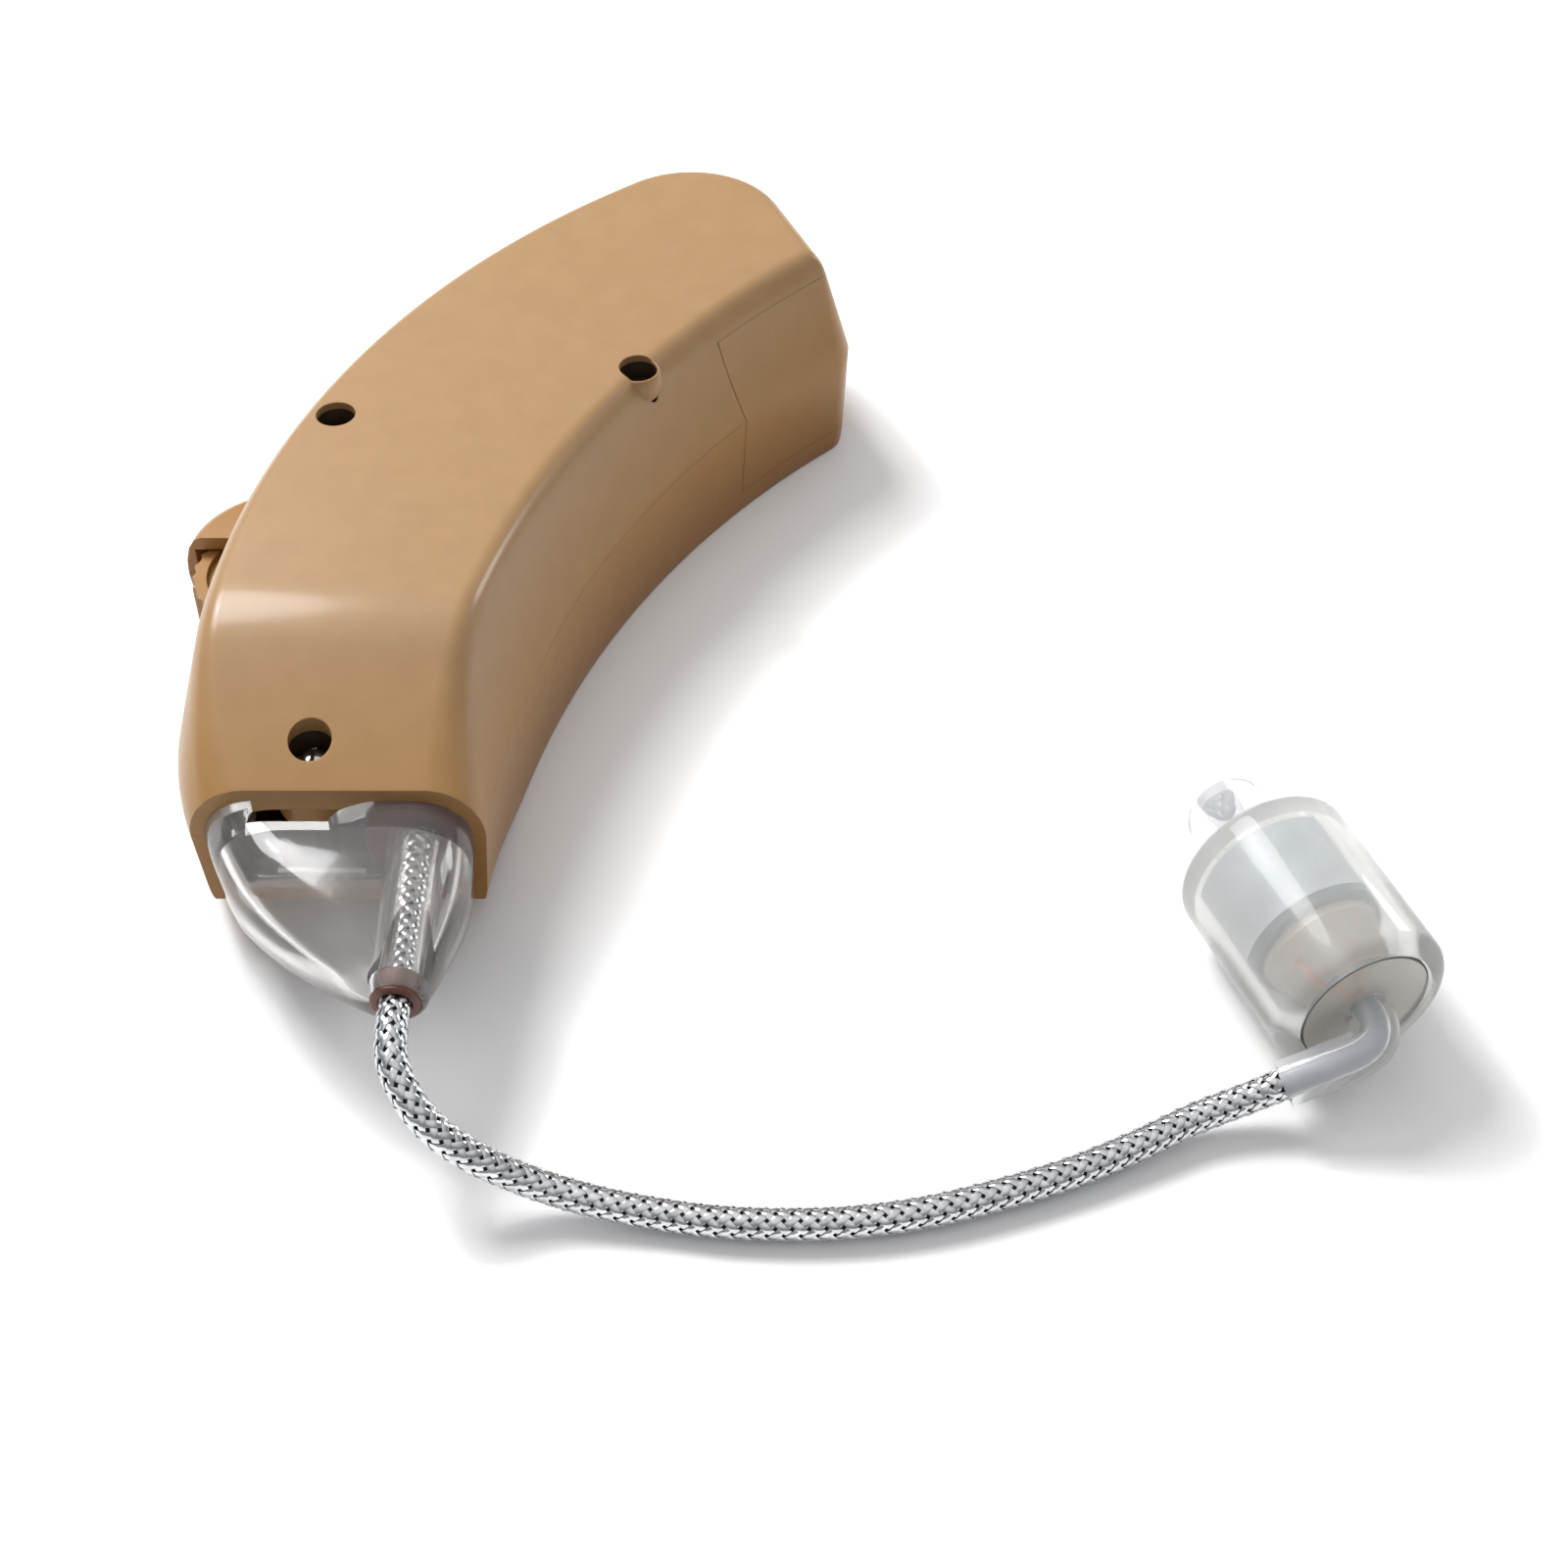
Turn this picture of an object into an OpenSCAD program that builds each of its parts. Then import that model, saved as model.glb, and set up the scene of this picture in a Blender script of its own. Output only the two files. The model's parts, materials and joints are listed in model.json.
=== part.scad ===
// Behind-the-ear hearing aid with its receiver on a short braided lead.
// It lies on its side. The origin is under the battery's axis, on the face it rests on.
// +X runs right and +Y runs away when the hollow side faces the viewer's lower right.

/* [Battery] */
// Diameter of the button cell
battery_d = 7.9; // [7.5:0.1:8.1]
// Height of the button cell
battery_h = 5.4; // [5:0.1:5.6]
// Gap between the cell and the door's pocket
battery_gap = 0.1; // [0.05:0.01:0.2]
// Room between the pocket and the case walls at the sides
side_room = 1.35; // [1.2:0.05:1.6]
// Room between the cell and the end wall at the parting line
end_room = 0.55; // [0.4:0.05:0.8]

/* [Case] */
// Thickness of the case over both faces
case_thick = 9.6; // [9.4:0.1:10.6]
// Thickness of the case walls
wall = 0.9; // [0.8:0.05:1]
// Radius of the spine at the parting line
spine_radius = 37.2; // [36:0.1:39]
// Radius of the hollow side at the parting line
hollow_radius = 40; // [39:0.1:42]
// Radius of the spine round the tip
tip_radius = 16; // [15.4:0.1:17]
// Corner radius between the spine and the battery end
end_corner_r = 5.3; // [4.6:0.1:5.8]
// Corner radius between the hollow side and the battery end
hollow_corner_r = 1.5; // [1.4:0.1:2.2]
// Inset of the upper face from the parting line
top_draw = 2; // [1.6:0.1:2.2]
// Inset of the lower face from the parting line
bottom_draw = 0.35; // [0.25:0.05:0.5]
// Length of the sloping tip, from its crease to its mouth
tip_len = 6.3; // [6:0.1:7]
// Drop of the upper face over the tip
tip_drop = 2.6; // [2.2:0.1:2.8]
// Rise of the lower face over the tip
tip_rise = 1.6; // [1.2:0.1:1.8]
// Gap left along the parting line
seam_gap = 0.05; // [0.03:0.01:0.1]

/* [Screws] */
// Diameter of the screw recesses in the upper shell
recess_d = 1.5; // [1.4:0.05:1.7]
// Depth of the screw recesses below the upper face
recess_depth = 2.1; // [1.8:0.1:2.3]
// Diameter of the screw heads
screw_head_d = 1.35; // [1.2:0.05:1.35]
// Height of the screw heads
screw_head_h = 0.6; // [0.5:0.05:0.7]
// Diameter of the screw shanks
screw_d = 0.8; // [0.7:0.05:0.9]
// Length of the screw shanks
screw_len = 4.6; // [4:0.1:5]
// Wall of the bosses round the screws
boss_wall = 0.7; // [0.6:0.05:0.8]
// Distance of the rear screw from the spine
rear_screw_inset = 2.7; // [2.6:0.1:3]
// Distance of the front screw from the hollow side
front_screw_inset = 1.7; // [1.6:0.1:2]
// Distance of the tip screw from the spine
tip_screw_inset = 4.6; // [4.5:0.1:5]

/* [Volume control] */
// Diameter of the volume wheel over its teeth
wheel_d = 6.6; // [6.2:0.1:6.8]
// Thickness of the volume wheel
wheel_h = 2; // [1.8:0.1:2.2]
// How far the wheel stands out of the spine
wheel_stand = 1.4; // [1.2:0.1:1.5]
// Depth of the wheel's teeth
tooth_depth = 0.25; // [0.15:0.05:0.3]
// Number of teeth round the wheel
teeth = 30; // [24:1:36]
// Diameter of the axle
axle_d = 1.2; // [1:0.05:1.3]
// Clearance round the wheel in its slot
slot_gap = 0.15; // [0.1:0.05:0.2]
// Height of the potentiometer's body
pot_h = 0.6; // [0.5:0.05:0.65]
// Diameter of the potentiometer's body
pot_d = 5.2; // [4.8:0.1:5.4]
// Thickness of the guard over the wheel
guard_wall = 0.55; // [0.45:0.05:0.6]

/* [Battery door] */
// Thickness of the plates above and below the door
plate = 1; // [0.95:0.05:1.1]
// Gap between the door and what is round it
door_gap = 0.1; // [0.06:0.01:0.12]
// Depth of the hinge pin below the hollow side
pin_depth = 1.75; // [1.7:0.05:1.8]
// Length of the door's flank behind the hinge pin
flank = 1.9; // [1.85:0.05:2]
// Diameter of the hinge pin
pin_d = 0.7; // [0.6:0.05:0.75]
// Diameter of the knuckle round the pin
knuckle_d = 2; // [1.8:0.05:2.1]
// Wall of the pocket that holds the cell
pocket_wall = 0.45; // [0.4:0.05:0.5]
// Thickness of the floor under the cell
floor_t = 0.6; // [0.5:0.05:0.65]

/* [Electronics] */
// Thickness of the circuit board
board_t = 0.6; // [0.5:0.05:0.7]
// Depth of the board's underside below the parting line
board_z = 2.4; // [2.35:0.05:2.6]
// Gap between the board and the case wall
board_gap = 0.35; // [0.3:0.05:0.5]
// Length of the amplifier
chip_len = 4.6; // [4:0.1:5]
// Width of the amplifier
chip_w = 3.2; // [2.8:0.1:3.6]
// Height of the amplifier
chip_h = 1.3; // [1:0.1:1.6]
// Diameter of the microphone
mic_d = 2.56; // [2.4:0.02:2.6]
// Length of the microphone
mic_len = 2.6; // [2.4:0.1:2.7]
// Thickness of the contact strips
strip_t = 0.2; // [0.15:0.05:0.25]
// Width of the contact strips
strip_w = 1.8; // [1.6:0.1:2]
// Gap between a contact and the cell
contact_gap = 0.12; // [0.08:0.01:0.2]

/* [Nozzle] */
// Length of the clear nozzle beyond the mouth
nozzle_len = 7.4; // [7:0.1:7.6]
// Wall of the clear nozzle
nozzle_wall = 0.6; // [0.5:0.05:0.65]
// Step from the case down to the nozzle
nozzle_step = 0.2; // [0.15:0.05:0.25]
// Diameter of the nozzle's end
nozzle_end_d = 2; // [1.9:0.05:2.2]
// Diameter of the lead's sleeve where it leaves the case
sleeve_base_d = 2.5; // [2.4:0.05:2.6]
// Distance of the lead's line from the hollow side
lead_inset = 2.3; // [2.2:0.05:2.4]
// Length of the skirt that seats in the case
skirt_len = 0.7; // [0.5:0.05:0.72]
// Width of the sound inlet in the nozzle's edge
inlet_w = 2.8; // [2.4:0.1:3]
// Depth of the sound inlet
inlet_depth = 1.1; // [0.9:0.1:1.3]
// Distance of the sound inlet from the spine
inlet_inset = 3.5; // [3.4:0.1:3.8]
// Length of the rubber bush round the lead
bush_len = 1.6; // [1.3:0.1:1.8]
// Diameter of the rubber seal round the lead in the mouth
seal_d = 4.6; // [4:0.1:4.8]
// Wall of the rubber bush
bush_wall = 0.22; // [0.2:0.01:0.25]
// How far the bush stands out of the nozzle
bush_out = 0.15; // [0.1:0.05:0.2]

/* [Lead] */
// Diameter of the braided lead
lead_d = 1.1; // [1:0.05:1.2]
// Clearance round the lead in its sleeve
lead_gap = 0.05; // [0.03:0.01:0.08]
// Diameter of the crimp on the lead's end
crimp_d = 1.7; // [1.6:0.05:1.8]
// Length of the crimp
crimp_len = 1.5; // [1.4:0.1:1.7]
// Diameter of the fine wires
wire_d = 0.3; // [0.25:0.01:0.35]

/* [Receiver] */
// Diameter of the receiver's case
receiver_d = 6.3; // [6.2:0.05:6.5]
// Length of the receiver's case
receiver_len = 7.4; // [7.2:0.1:7.8]
// Wall round the receiver
receiver_wall = 0.7; // [0.6:0.05:0.75]
// Wall at the receiver's sound end
receiver_end_wall = 0.6; // [0.5:0.05:0.7]
// Edge radius of the receiver's case
receiver_edge = 0.55; // [0.4:0.05:0.6]
// Thickness of the receiver's cap
cap_t = 0.8; // [0.7:0.05:0.9]
// Length of the speaker capsule
capsule_len = 3.9; // [3.6:0.1:4]
// Diameter of the nub that takes an ear tip
nub_d = 2.9; // [2.8:0.05:3]
// Length of the nub
nub_len = 3.3; // [3:0.1:3.5]
// Diameter of the sound passage
sound_d = 1.3; // [1.2:0.05:1.4]
// Outer diameter of the clear strain relief
relief_d = 1.6; // [1.5:0.05:1.7]

/* [Hidden] */
$fn = 48;

beige = [0.76, 0.58, 0.42];
clear_tint = [0.85, 0.86, 0.84];
steel = [0.75, 0.76, 0.78];
brass = [0.72, 0.56, 0.28];
rubber = [0.42, 0.22, 0.16];
copper = [0.78, 0.45, 0.28];
board_green = [0.12, 0.35, 0.2];
graphite = [0.16, 0.17, 0.19];

// Overrun of the cuts past the faces that they open
over = 0.5;
// Clearance of parts that are fixed in one another
seat_gap = 0.02;
// Clearance of a pin or axle in what turns on it
run_gap = 0.04;
// Smallest corner radius left by an inset
sharp_r = 0.3;
// Segments of the tip, the long arcs and the end corners
tip_n = 4;
arc_n = 14;
corner_n = 6;

half = case_thick / 2;
mid = half;
pocket_r = battery_d / 2 + battery_gap;
case_half = battery_d / 2 + side_room + wall;
end_reach = battery_d / 2 + end_room + wall;

// Directions, seen from the battery's axis
spine_turn = -51.7;
hollow_turn = -43.6;
end_turn = 23;

function dir(a) = [cos(a), sin(a)];
function turn_of(v) = atan2(v.y, v.x);
function mix(a, b, t) = a + (b - a) * t;
function steps(n) = [for (i = [0 : n]) i / n];

spine_c = dir(spine_turn) * (spine_radius - case_half);
hollow_c = dir(hollow_turn) * (hollow_radius + case_half);
crease_y = spine_c.y;
mouth_y = crease_y - tip_len;
tip_c = [spine_c.x - spine_radius + tip_radius, spine_c.y];

// Centre of the arc that joins a circle round c to the end wall
function corner_c(c, r, reach) =
    let (n = dir(end_turn), m = [-n.y, n.x], p = n * reach - c, b = p * m)
    n * reach + m * (sqrt(b * b - p * p + r * r) - b);

// X of the spine and of the hollow side at a height y of the tip, inset by d
function spine_x(y, d = 0) = tip_c.x - sqrt(pow(tip_radius - d, 2) - pow(y - tip_c.y, 2));
function hollow_x(y, d = 0) = hollow_c.x - sqrt(pow(hollow_radius + d, 2) - pow(y - hollow_c.y, 2));

// Plan outline inset by d: the spine from mouth to end, then the hollow side back to the mouth
function spine_side(d, y_end) =
    let (r = max(end_corner_r - d, sharp_r),
         k = corner_c(spine_c, spine_radius - d - r, end_reach - d - r),
         a = turn_of(k - spine_c))
    concat(
        [for (t = steps(tip_n)) if (t < 1) let (y = mix(y_end, crease_y, t)) [spine_x(y, d), y]],
        [for (t = steps(arc_n)) spine_c + dir(mix(180, a, t)) * (spine_radius - d)],
        [for (t = steps(corner_n)) if (t > 0) k + dir(mix(a, end_turn, t)) * r]);

function hollow_side(d, y_end) =
    let (r = max(hollow_corner_r - d, sharp_r),
         k = corner_c(hollow_c, hollow_radius + d + r, end_reach - d - r),
         a = turn_of(k - hollow_c),
         a_crease = 180 - asin((crease_y - hollow_c.y) / (hollow_radius + d)))
    concat(
        [for (t = steps(corner_n)) if (t < 1) k + dir(mix(end_turn, a - 180, t)) * r],
        [for (t = steps(arc_n)) hollow_c + dir(mix(a, a_crease, t)) * (hollow_radius + d)],
        [for (t = steps(tip_n)) if (t > 0) let (y = mix(crease_y, y_end, t)) [hollow_x(y, d), y]]);

function outline(d, y_end = mouth_y) = concat(spine_side(d, y_end), hollow_side(d, y_end));

// Edge profile from the parting line to a face: share of the draw, share of the half height
edge_shares = [[0, 0], [0.5, 0.75], [0.62, 0.89], [0.8, 0.97], [1, 1]];

// Rings of the case from its lower face to its upper one: inset, share of the half height
function case_levels() = concat(
    [for (i = [len(edge_shares) - 1 : -1 : 1]) [edge_shares[i][0] * bottom_draw, -edge_shares[i][1]]],
    [for (s = edge_shares) [s[0] * top_draw, s[1]]]);

// Share of the tip's slope reached at a height y
function slope(y) = max(0, (crease_y - y) / tip_len);

// Height of the case at a plan height y and share of the half height, inset by d
function case_z(y, share, d = 0) =
    mid + share * (half - d) - (share > 0 ? tip_drop : tip_rise) * slope(y) * share;

// Closed solid of the case inset by d on every side, ending at y_end
module case_form(d = 0, y_end = mouth_y) {
    levels = case_levels();
    ring = len(outline(d, y_end));
    last = ring * (len(levels) - 1);
    points = [for (l = levels, p = outline(d + l[0], y_end)) [p.x, p.y, case_z(p.y, l[1], d)]];
    sides = [for (k = [0 : len(levels) - 2], i = [0 : ring - 1])
        let (a = k * ring + i, b = k * ring + (i + 1) % ring) each [[a, b, b + ring], [a, b + ring, a + ring]]];
    lids = [for (i = [0 : ring / 2 - 2]) let (j = ring - 1 - i)
        each [[j, i + 1, i], [j, j - 1, i + 1],
              [last + i, last + i + 1, last + j], [last + i + 1, last + j - 1, last + j]]];
    polyhedron(points, concat(sides, lids), convexity = 6);
}

// Slab that spans the whole plan between two heights
module slab(z0, z1) {
    reach = spine_radius + hollow_radius;
    translate([-reach, -reach, z0]) cube([2 * reach, 2 * reach, z1 - z0]);
}

module rod(d, z0, z1) {
    translate([0, 0, z0]) cylinder(d = d, h = z1 - z0);
}

// Closed solid through rings with equal numbers of points
module loft(rings) {
    m = len(rings[0]);
    n = len(rings);
    skin = [for (i = [0 : n - 2], k = [0 : m - 1])
        let (a = i * m + k, b = i * m + (k + 1) % m)
        each [[a, b, b + m], [a, b + m, a + m]]];
    ends = [[for (k = [m - 1 : -1 : 0]) k], [for (k = [0 : m - 1]) (n - 1) * m + k]];
    polyhedron([for (r = rings) each r], concat(skin, ends), convexity = 6);
}

// Tube along a list of points, with its ends square to the first and last runs
function unit(v) = v / norm(v);
function run_dirs(p) = [for (i = [0 : len(p) - 1])
    unit(p[min(i + 1, len(p) - 1)] - p[max(i - 1, 0)])];
module tube(points, d, sides = 8, up = [0, 0, 1]) {
    along = run_dirs(points);
    loft([for (i = [0 : len(points) - 1])
        let (t = along[i], u = unit(cross(t, up)), v = cross(u, t))
        [for (k = [0 : sides - 1]) points[i] + (u * cos(360 * k / sides) + v * sin(360 * k / sides)) * d / 2]]);
}

// Places of the pieces in plan
wheel_reach = spine_radius + wheel_stand - wheel_d / 2;
wheel_turn = 169.2;
wheel_at = spine_c + dir(wheel_turn) * wheel_reach;
rear_screw_at = spine_c + dir(160.8) * (spine_radius - rear_screw_inset);
front_screw_at = hollow_c + dir(148.2) * (hollow_radius + front_screw_inset);
boss_d = recess_d + 2 * boss_wall;
post_d = screw_d + 2 * boss_wall;
tip_screw_y = mouth_y + boss_d / 2 + 3 * door_gap;
tip_screw_at = [spine_x(tip_screw_y, tip_screw_inset), tip_screw_y];
screws_at = [rear_screw_at, front_screw_at, tip_screw_at];

// Line where the door's flank ends on the hollow side, and the hinge pin behind it
door_line_turn = 141.4;
pin_turn = door_line_turn - flank / hollow_radius * 180 / PI;
pin_at = hollow_c + dir(pin_turn) * (hollow_radius + pin_depth);
hinge_sweep = sqrt(flank * flank + pin_depth * pin_depth) + door_gap;
door_top = case_thick - plate - door_gap;
cell_z = mid - battery_h / 2;
door_bottom = min(plate + door_gap, cell_z - floor_t);
pocket_open = battery_d * 2 / 3;
// Direction of the door's edge on the spine, seen from the pin
door_edge_turn = 99;

// Direction from the battery to the electronics, and the wall between them
inner_turn = 223;
bulkhead_reach = pocket_r + pocket_wall + 2 * end_room;
bulkhead_t = pocket_wall;
bulkhead_top = mid - seam_gap;

board_low = mid - board_z;
board_top = board_low + board_t;
wheel_z = mid - wheel_h / 2;
lead_x = hollow_x(mouth_y, lead_inset);
nozzle_end_y = mouth_y - nozzle_len;
crimp_y1 = mouth_y + skirt_len + seat_gap;
crimp_y0 = crimp_y1 + crimp_len;

// Ground plan of the door, swept round the pin and grown by g
module door_plan(g = 0) {
    reach = 2 * spine_radius;
    line = door_line_turn - 180;
    rear = dir(line - 90) * (flank + g);
    side = dir(door_edge_turn + 90) * g;
    fan = [for (t = steps(3)) dir(mix(door_edge_turn, line, t)) * reach];
    translate(pin_at) polygon([side, fan[0] + side, fan[1], fan[2], fan[3] + rear, rear]);
}

// Guard that swells from the spine above the wheel, between two turns about the spine's centre
guard_low_turn = 168.3;
guard_high_turn = 163;
module guard_form() {
    low = spine_c + dir(guard_low_turn) * (wheel_reach - slot_gap);
    high = spine_c + dir(guard_high_turn) * (spine_radius - wheel_d / 2 - slot_gap);
    hull() {
        translate(low) guard_disc(wheel_d / 2 + slot_gap + guard_wall, wheel_h + 2 * (guard_wall + slot_gap));
        translate(high) guard_disc(wheel_d / 3, wheel_h + 2 * guard_wall);
    }
}
module guard_disc(r, h) {
    edge = guard_wall + slot_gap;
    translate([0, 0, mid - h / 2]) rotate_extrude($fn = 32) polygon([
        [0, 0], [r - edge, 0], [r - edge / 4, edge / 2], [r, edge],
        [r, h - edge], [r - edge / 4, h - edge / 2], [r - edge, h], [0, h]]);
}

module wheel_slot() {
    translate(wheel_at) rod(wheel_d + 2 * slot_gap, wheel_z - slot_gap, wheel_z + wheel_h + slot_gap);
}

// Outer skin of both shells, with the guard's lower side left open for a thumb
module skin() {
    difference() {
        union() {
            case_form();
            difference() {
                guard_form();
                guard_cut();
            }
        }
        case_form(wall, mouth_y - over);
    }
}
// Wedge below the guard, where the wheel shows
module guard_cut() {
    edge_y = wheel_at.y + wheel_d / 6;
    translate([wheel_at.x - wheel_d, edge_y - 2 * wheel_d, 0]) cube([wheel_d, 2 * wheel_d, case_thick]);
}

// What both shells leave free: the door, its hinge sweep and the wheel
module openings() {
    translate([0, 0, door_bottom - door_gap])
        linear_extrude(door_top - door_bottom + 2 * door_gap) door_plan(door_gap);
    translate(pin_at) rod(2 * hinge_sweep, door_bottom - door_gap, door_top + door_gap);
    rod(2 * (pocket_r + pocket_wall + door_gap), cell_z - floor_t - door_gap, mid);
    wheel_slot();
}

function screw_top(i) = case_z(screws_at[i].y, 1) - recess_depth;

module upper_shell() color(beige) difference() {
    union() {
        difference() {
            skin();
            slab(-over, mid);
        }
        intersection() {
            case_form(wall / 2);
            union() {
                for (i = [0 : 2]) translate(screws_at[i]) rod(boss_d, mid + seam_gap, case_thick);
                translate(wheel_at) rod(axle_d + 2 * boss_wall, wheel_z + wheel_h + slot_gap, case_thick);
            }
        }
    }
    openings();
    for (i = [0 : 2]) translate(screws_at[i]) {
        rod(recess_d, screw_top(i) - screw_head_h, case_thick + over);
        rod(screw_d + 2 * seat_gap, 0, case_thick);
    }
    translate(wheel_at) rod(axle_d + 2 * seat_gap, 0, case_thick - wall);
    translate(pin_at) rod(pin_d + 2 * seat_gap, mid, case_thick - plate / 2);
    crimp_seat();
}

module lower_shell() color(beige) difference() {
    union() {
        difference() {
            skin();
            slab(mid - seam_gap, case_thick + over);
        }
        intersection() {
            case_form(wall / 2);
            slab(0, mid - seam_gap);
            union() {
                for (p = screws_at) translate(p) rod(post_d, 0, mid - seam_gap);
                translate(wheel_at) rod(axle_d + 2 * boss_wall, 0, board_low);
                for (p = board_posts) translate(p) rod(axle_d, 0, board_low);
                rotate(inner_turn) translate([bulkhead_reach, -case_half, 0])
                    cube([bulkhead_t, 2 * case_half, mid]);
                translate([lead_x - crimp_d, crimp_y1 + seat_gap, 0]) cube([2 * crimp_d, crimp_len / 2, mid]);
            }
        }
    }
    openings();
    for (i = [0 : 2]) translate(screws_at[i]) {
        rod(recess_d, screw_top(i) - screw_head_h, case_thick);
        rod(screw_d + 2 * seat_gap, screw_foot - seat_gap, case_thick);
    }
    translate(wheel_at) rod(axle_d + 2 * seat_gap, wall, case_thick);
    translate(pin_at) rod(pin_d + 2 * seat_gap, plate / 2, mid);
    crimp_seat();
}

// Room for the crimp and for what is in front of it, down to the mouth
module crimp_seat() along_y(lead_x, mid, crimp_y0 + seat_gap)
    cylinder(d = crimp_d + 2 * seat_gap, h = crimp_y0 + seat_gap - mouth_y + over);

// Places a child that points along -Y from y0, at a plan x and a height z
module along_y(x, z, y0) {
    translate([x, y0, z]) rotate([90, 0, 0]) children();
}

screw_foot = 2.2;
post_turns = [151, 163, 174];
post_inset = 2 * case_half - 3 * wall;
board_posts = [for (a = post_turns) spine_c + dir(a) * (spine_radius - post_inset)];

module case_screws() color(brass) for (i = [0 : 2]) translate(screws_at[i]) {
    top = screw_top(i);
    slot_w = screw_head_h / 3;
    difference() {
        rod(screw_head_d, top - screw_head_h, top);
        translate([-screw_head_d, -slot_w / 2, top - slot_w]) cube([2 * screw_head_d, slot_w, slot_w + over]);
        translate([-slot_w / 2, -screw_head_d, top - slot_w]) cube([slot_w, 2 * screw_head_d, slot_w + over]);
    }
    rod(screw_d, max(top - screw_head_h - screw_len, screw_foot), top - screw_head_h);
}

module battery_door() color(beige) difference() {
    union() {
        intersection() {
            difference() {
                case_form();
                case_form(wall);
            }
            door_zone();
        }
        intersection() {
            case_form();
            translate(pin_at) rod(knuckle_d, door_bottom, door_top);
        }
        rod(2 * (pocket_r + pocket_wall), cell_z - floor_t, mid + battery_h / 4);
    }
    rod(2 * pocket_r, cell_z - seat_gap, case_thick);
    rotate(inner_turn) translate([0, -pocket_open / 2, cell_z - seat_gap])
        cube([2 * pocket_r, pocket_open, case_thick]);
    translate(pin_at) rod(pin_d + 2 * run_gap, 0, case_thick);
}
module door_zone() {
    translate([0, 0, door_bottom]) linear_extrude(door_top - door_bottom) door_plan();
}

module door_pin() color(steel) translate(pin_at) rod(pin_d, plate / 2, case_thick - plate / 2);

module battery() color(steel) {
    step = battery_d / 16;
    lip = battery_h / 12;
    translate([0, 0, cell_z]) rotate_extrude() polygon([
        [0, 0], [battery_d / 2 - lip, 0], [battery_d / 2, lip], [battery_d / 2, battery_h - 3 * lip],
        [battery_d / 2 - lip, battery_h - 2 * lip], [battery_d / 2 - step - lip, battery_h - 2 * lip],
        [battery_d / 2 - step - 2 * lip, battery_h], [0, battery_h]]);
}

// Contact strips stand on the board behind the bulkhead
strip_foot = bulkhead_reach + bulkhead_t + 2 * seat_gap;
module contact_positive() color(steel) rotate(inner_turn) {
    front = battery_d / 2 + contact_gap;
    bridge_z = bulkhead_top + contact_gap;
    tongue_z = mid - battery_h / 4;
    translate([0, -strip_w / 2, 0]) {
        translate([strip_foot, 0, board_top]) cube([strip_t, strip_w, bridge_z + strip_t - board_top]);
        translate([front, 0, bridge_z]) cube([strip_foot + strip_t - front, strip_w, strip_t]);
        translate([front, 0, tongue_z]) cube([strip_t, strip_w, bridge_z + strip_t - tongue_z]);
    }
}
module contact_negative() color(steel) rotate(inner_turn) {
    bridge_z = mid + battery_h / 2 + contact_gap;
    translate([0, -2 * strip_w, 0]) {
        translate([strip_foot, 0, board_top]) cube([strip_t, strip_w, bridge_z + strip_t - board_top]);
        translate([0, 0, bridge_z]) cube([strip_foot + strip_t, strip_w, strip_t]);
    }
    translate([0, -strip_w * 3 / 2, bridge_z]) cube([strip_w, 2 * strip_w, strip_t]);
}

module volume_wheel() color(beige) translate(wheel_at) difference() {
    rod(wheel_d, wheel_z, wheel_z + wheel_h);
    rod(axle_d + 2 * run_gap, 0, case_thick);
    for (i = [1 : teeth]) rotate(i * 360 / teeth) translate([wheel_d / 2 + tooth_depth, 0, 0])
        rod(4 * tooth_depth, 0, case_thick);
    difference() {
        rod(wheel_d - 2 * wheel_h / 3, wheel_z + wheel_h - tooth_depth, case_thick);
        rod(axle_d + 2 * boss_wall, 0, case_thick);
    }
}

module wheel_axle() color(steel) translate(wheel_at) rod(axle_d, wall, case_thick - wall);

// Plan of the board, from the bulkhead to just past the crease
module board_plan() {
    difference() {
        polygon(outline(wall + board_gap + bottom_draw / 2, crease_y - tip_len / 4));
        rotate(inner_turn) translate([strip_foot - seat_gap - 2 * end_reach, -2 * case_half])
            square([2 * end_reach, 4 * case_half]);
        for (p = screws_at) translate(p) circle(d = post_d + 2 * board_gap);
        translate(wheel_at) circle(d = axle_d + 2 * seat_gap);
    }
}
module circuit_board() color(board_green) translate([0, 0, board_low]) linear_extrude(board_t) board_plan();

// Potentiometer under the wheel, cut off along the board's edge
module volume_control() color(graphite) translate([0, 0, board_top]) linear_extrude(pot_h) intersection() {
    board_plan();
    translate(wheel_at) circle(d = pot_d);
}

// The amplifier lies beside the front screw's post
chip_turn = 158;
chip_side_turn = 220.5;
chip_at = front_screw_at + dir(chip_side_turn) * (chip_len + post_d / 2 + board_gap);
module amplifier_chip() color(graphite) translate(chip_at) rotate(chip_turn - 90)
    translate([-chip_len / 2, -chip_w / 2, board_top]) cube([chip_len, chip_w, chip_h]);

// Places from the amplifier's middle as shares of its length, then the size as a share of its height
capacitor_shares = [[0.96, 0.94, 1], [0.92, 0.68, 0.8], [0.69, 0.16, 1], [-1.23, 0.15, 0.8],
    [-1.5, 0.05, 1], [-1.37, -0.3, 0.7]];
module capacitors() color(brass) for (c = capacitor_shares) {
    side = chip_h * c[2];
    translate(chip_at) rotate(chip_turn - 90)
        translate([chip_len * c[0] - side / 4, chip_len * c[1] - side / 2, board_top])
            cube([side / 2, side, side / 2]);
}

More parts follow.
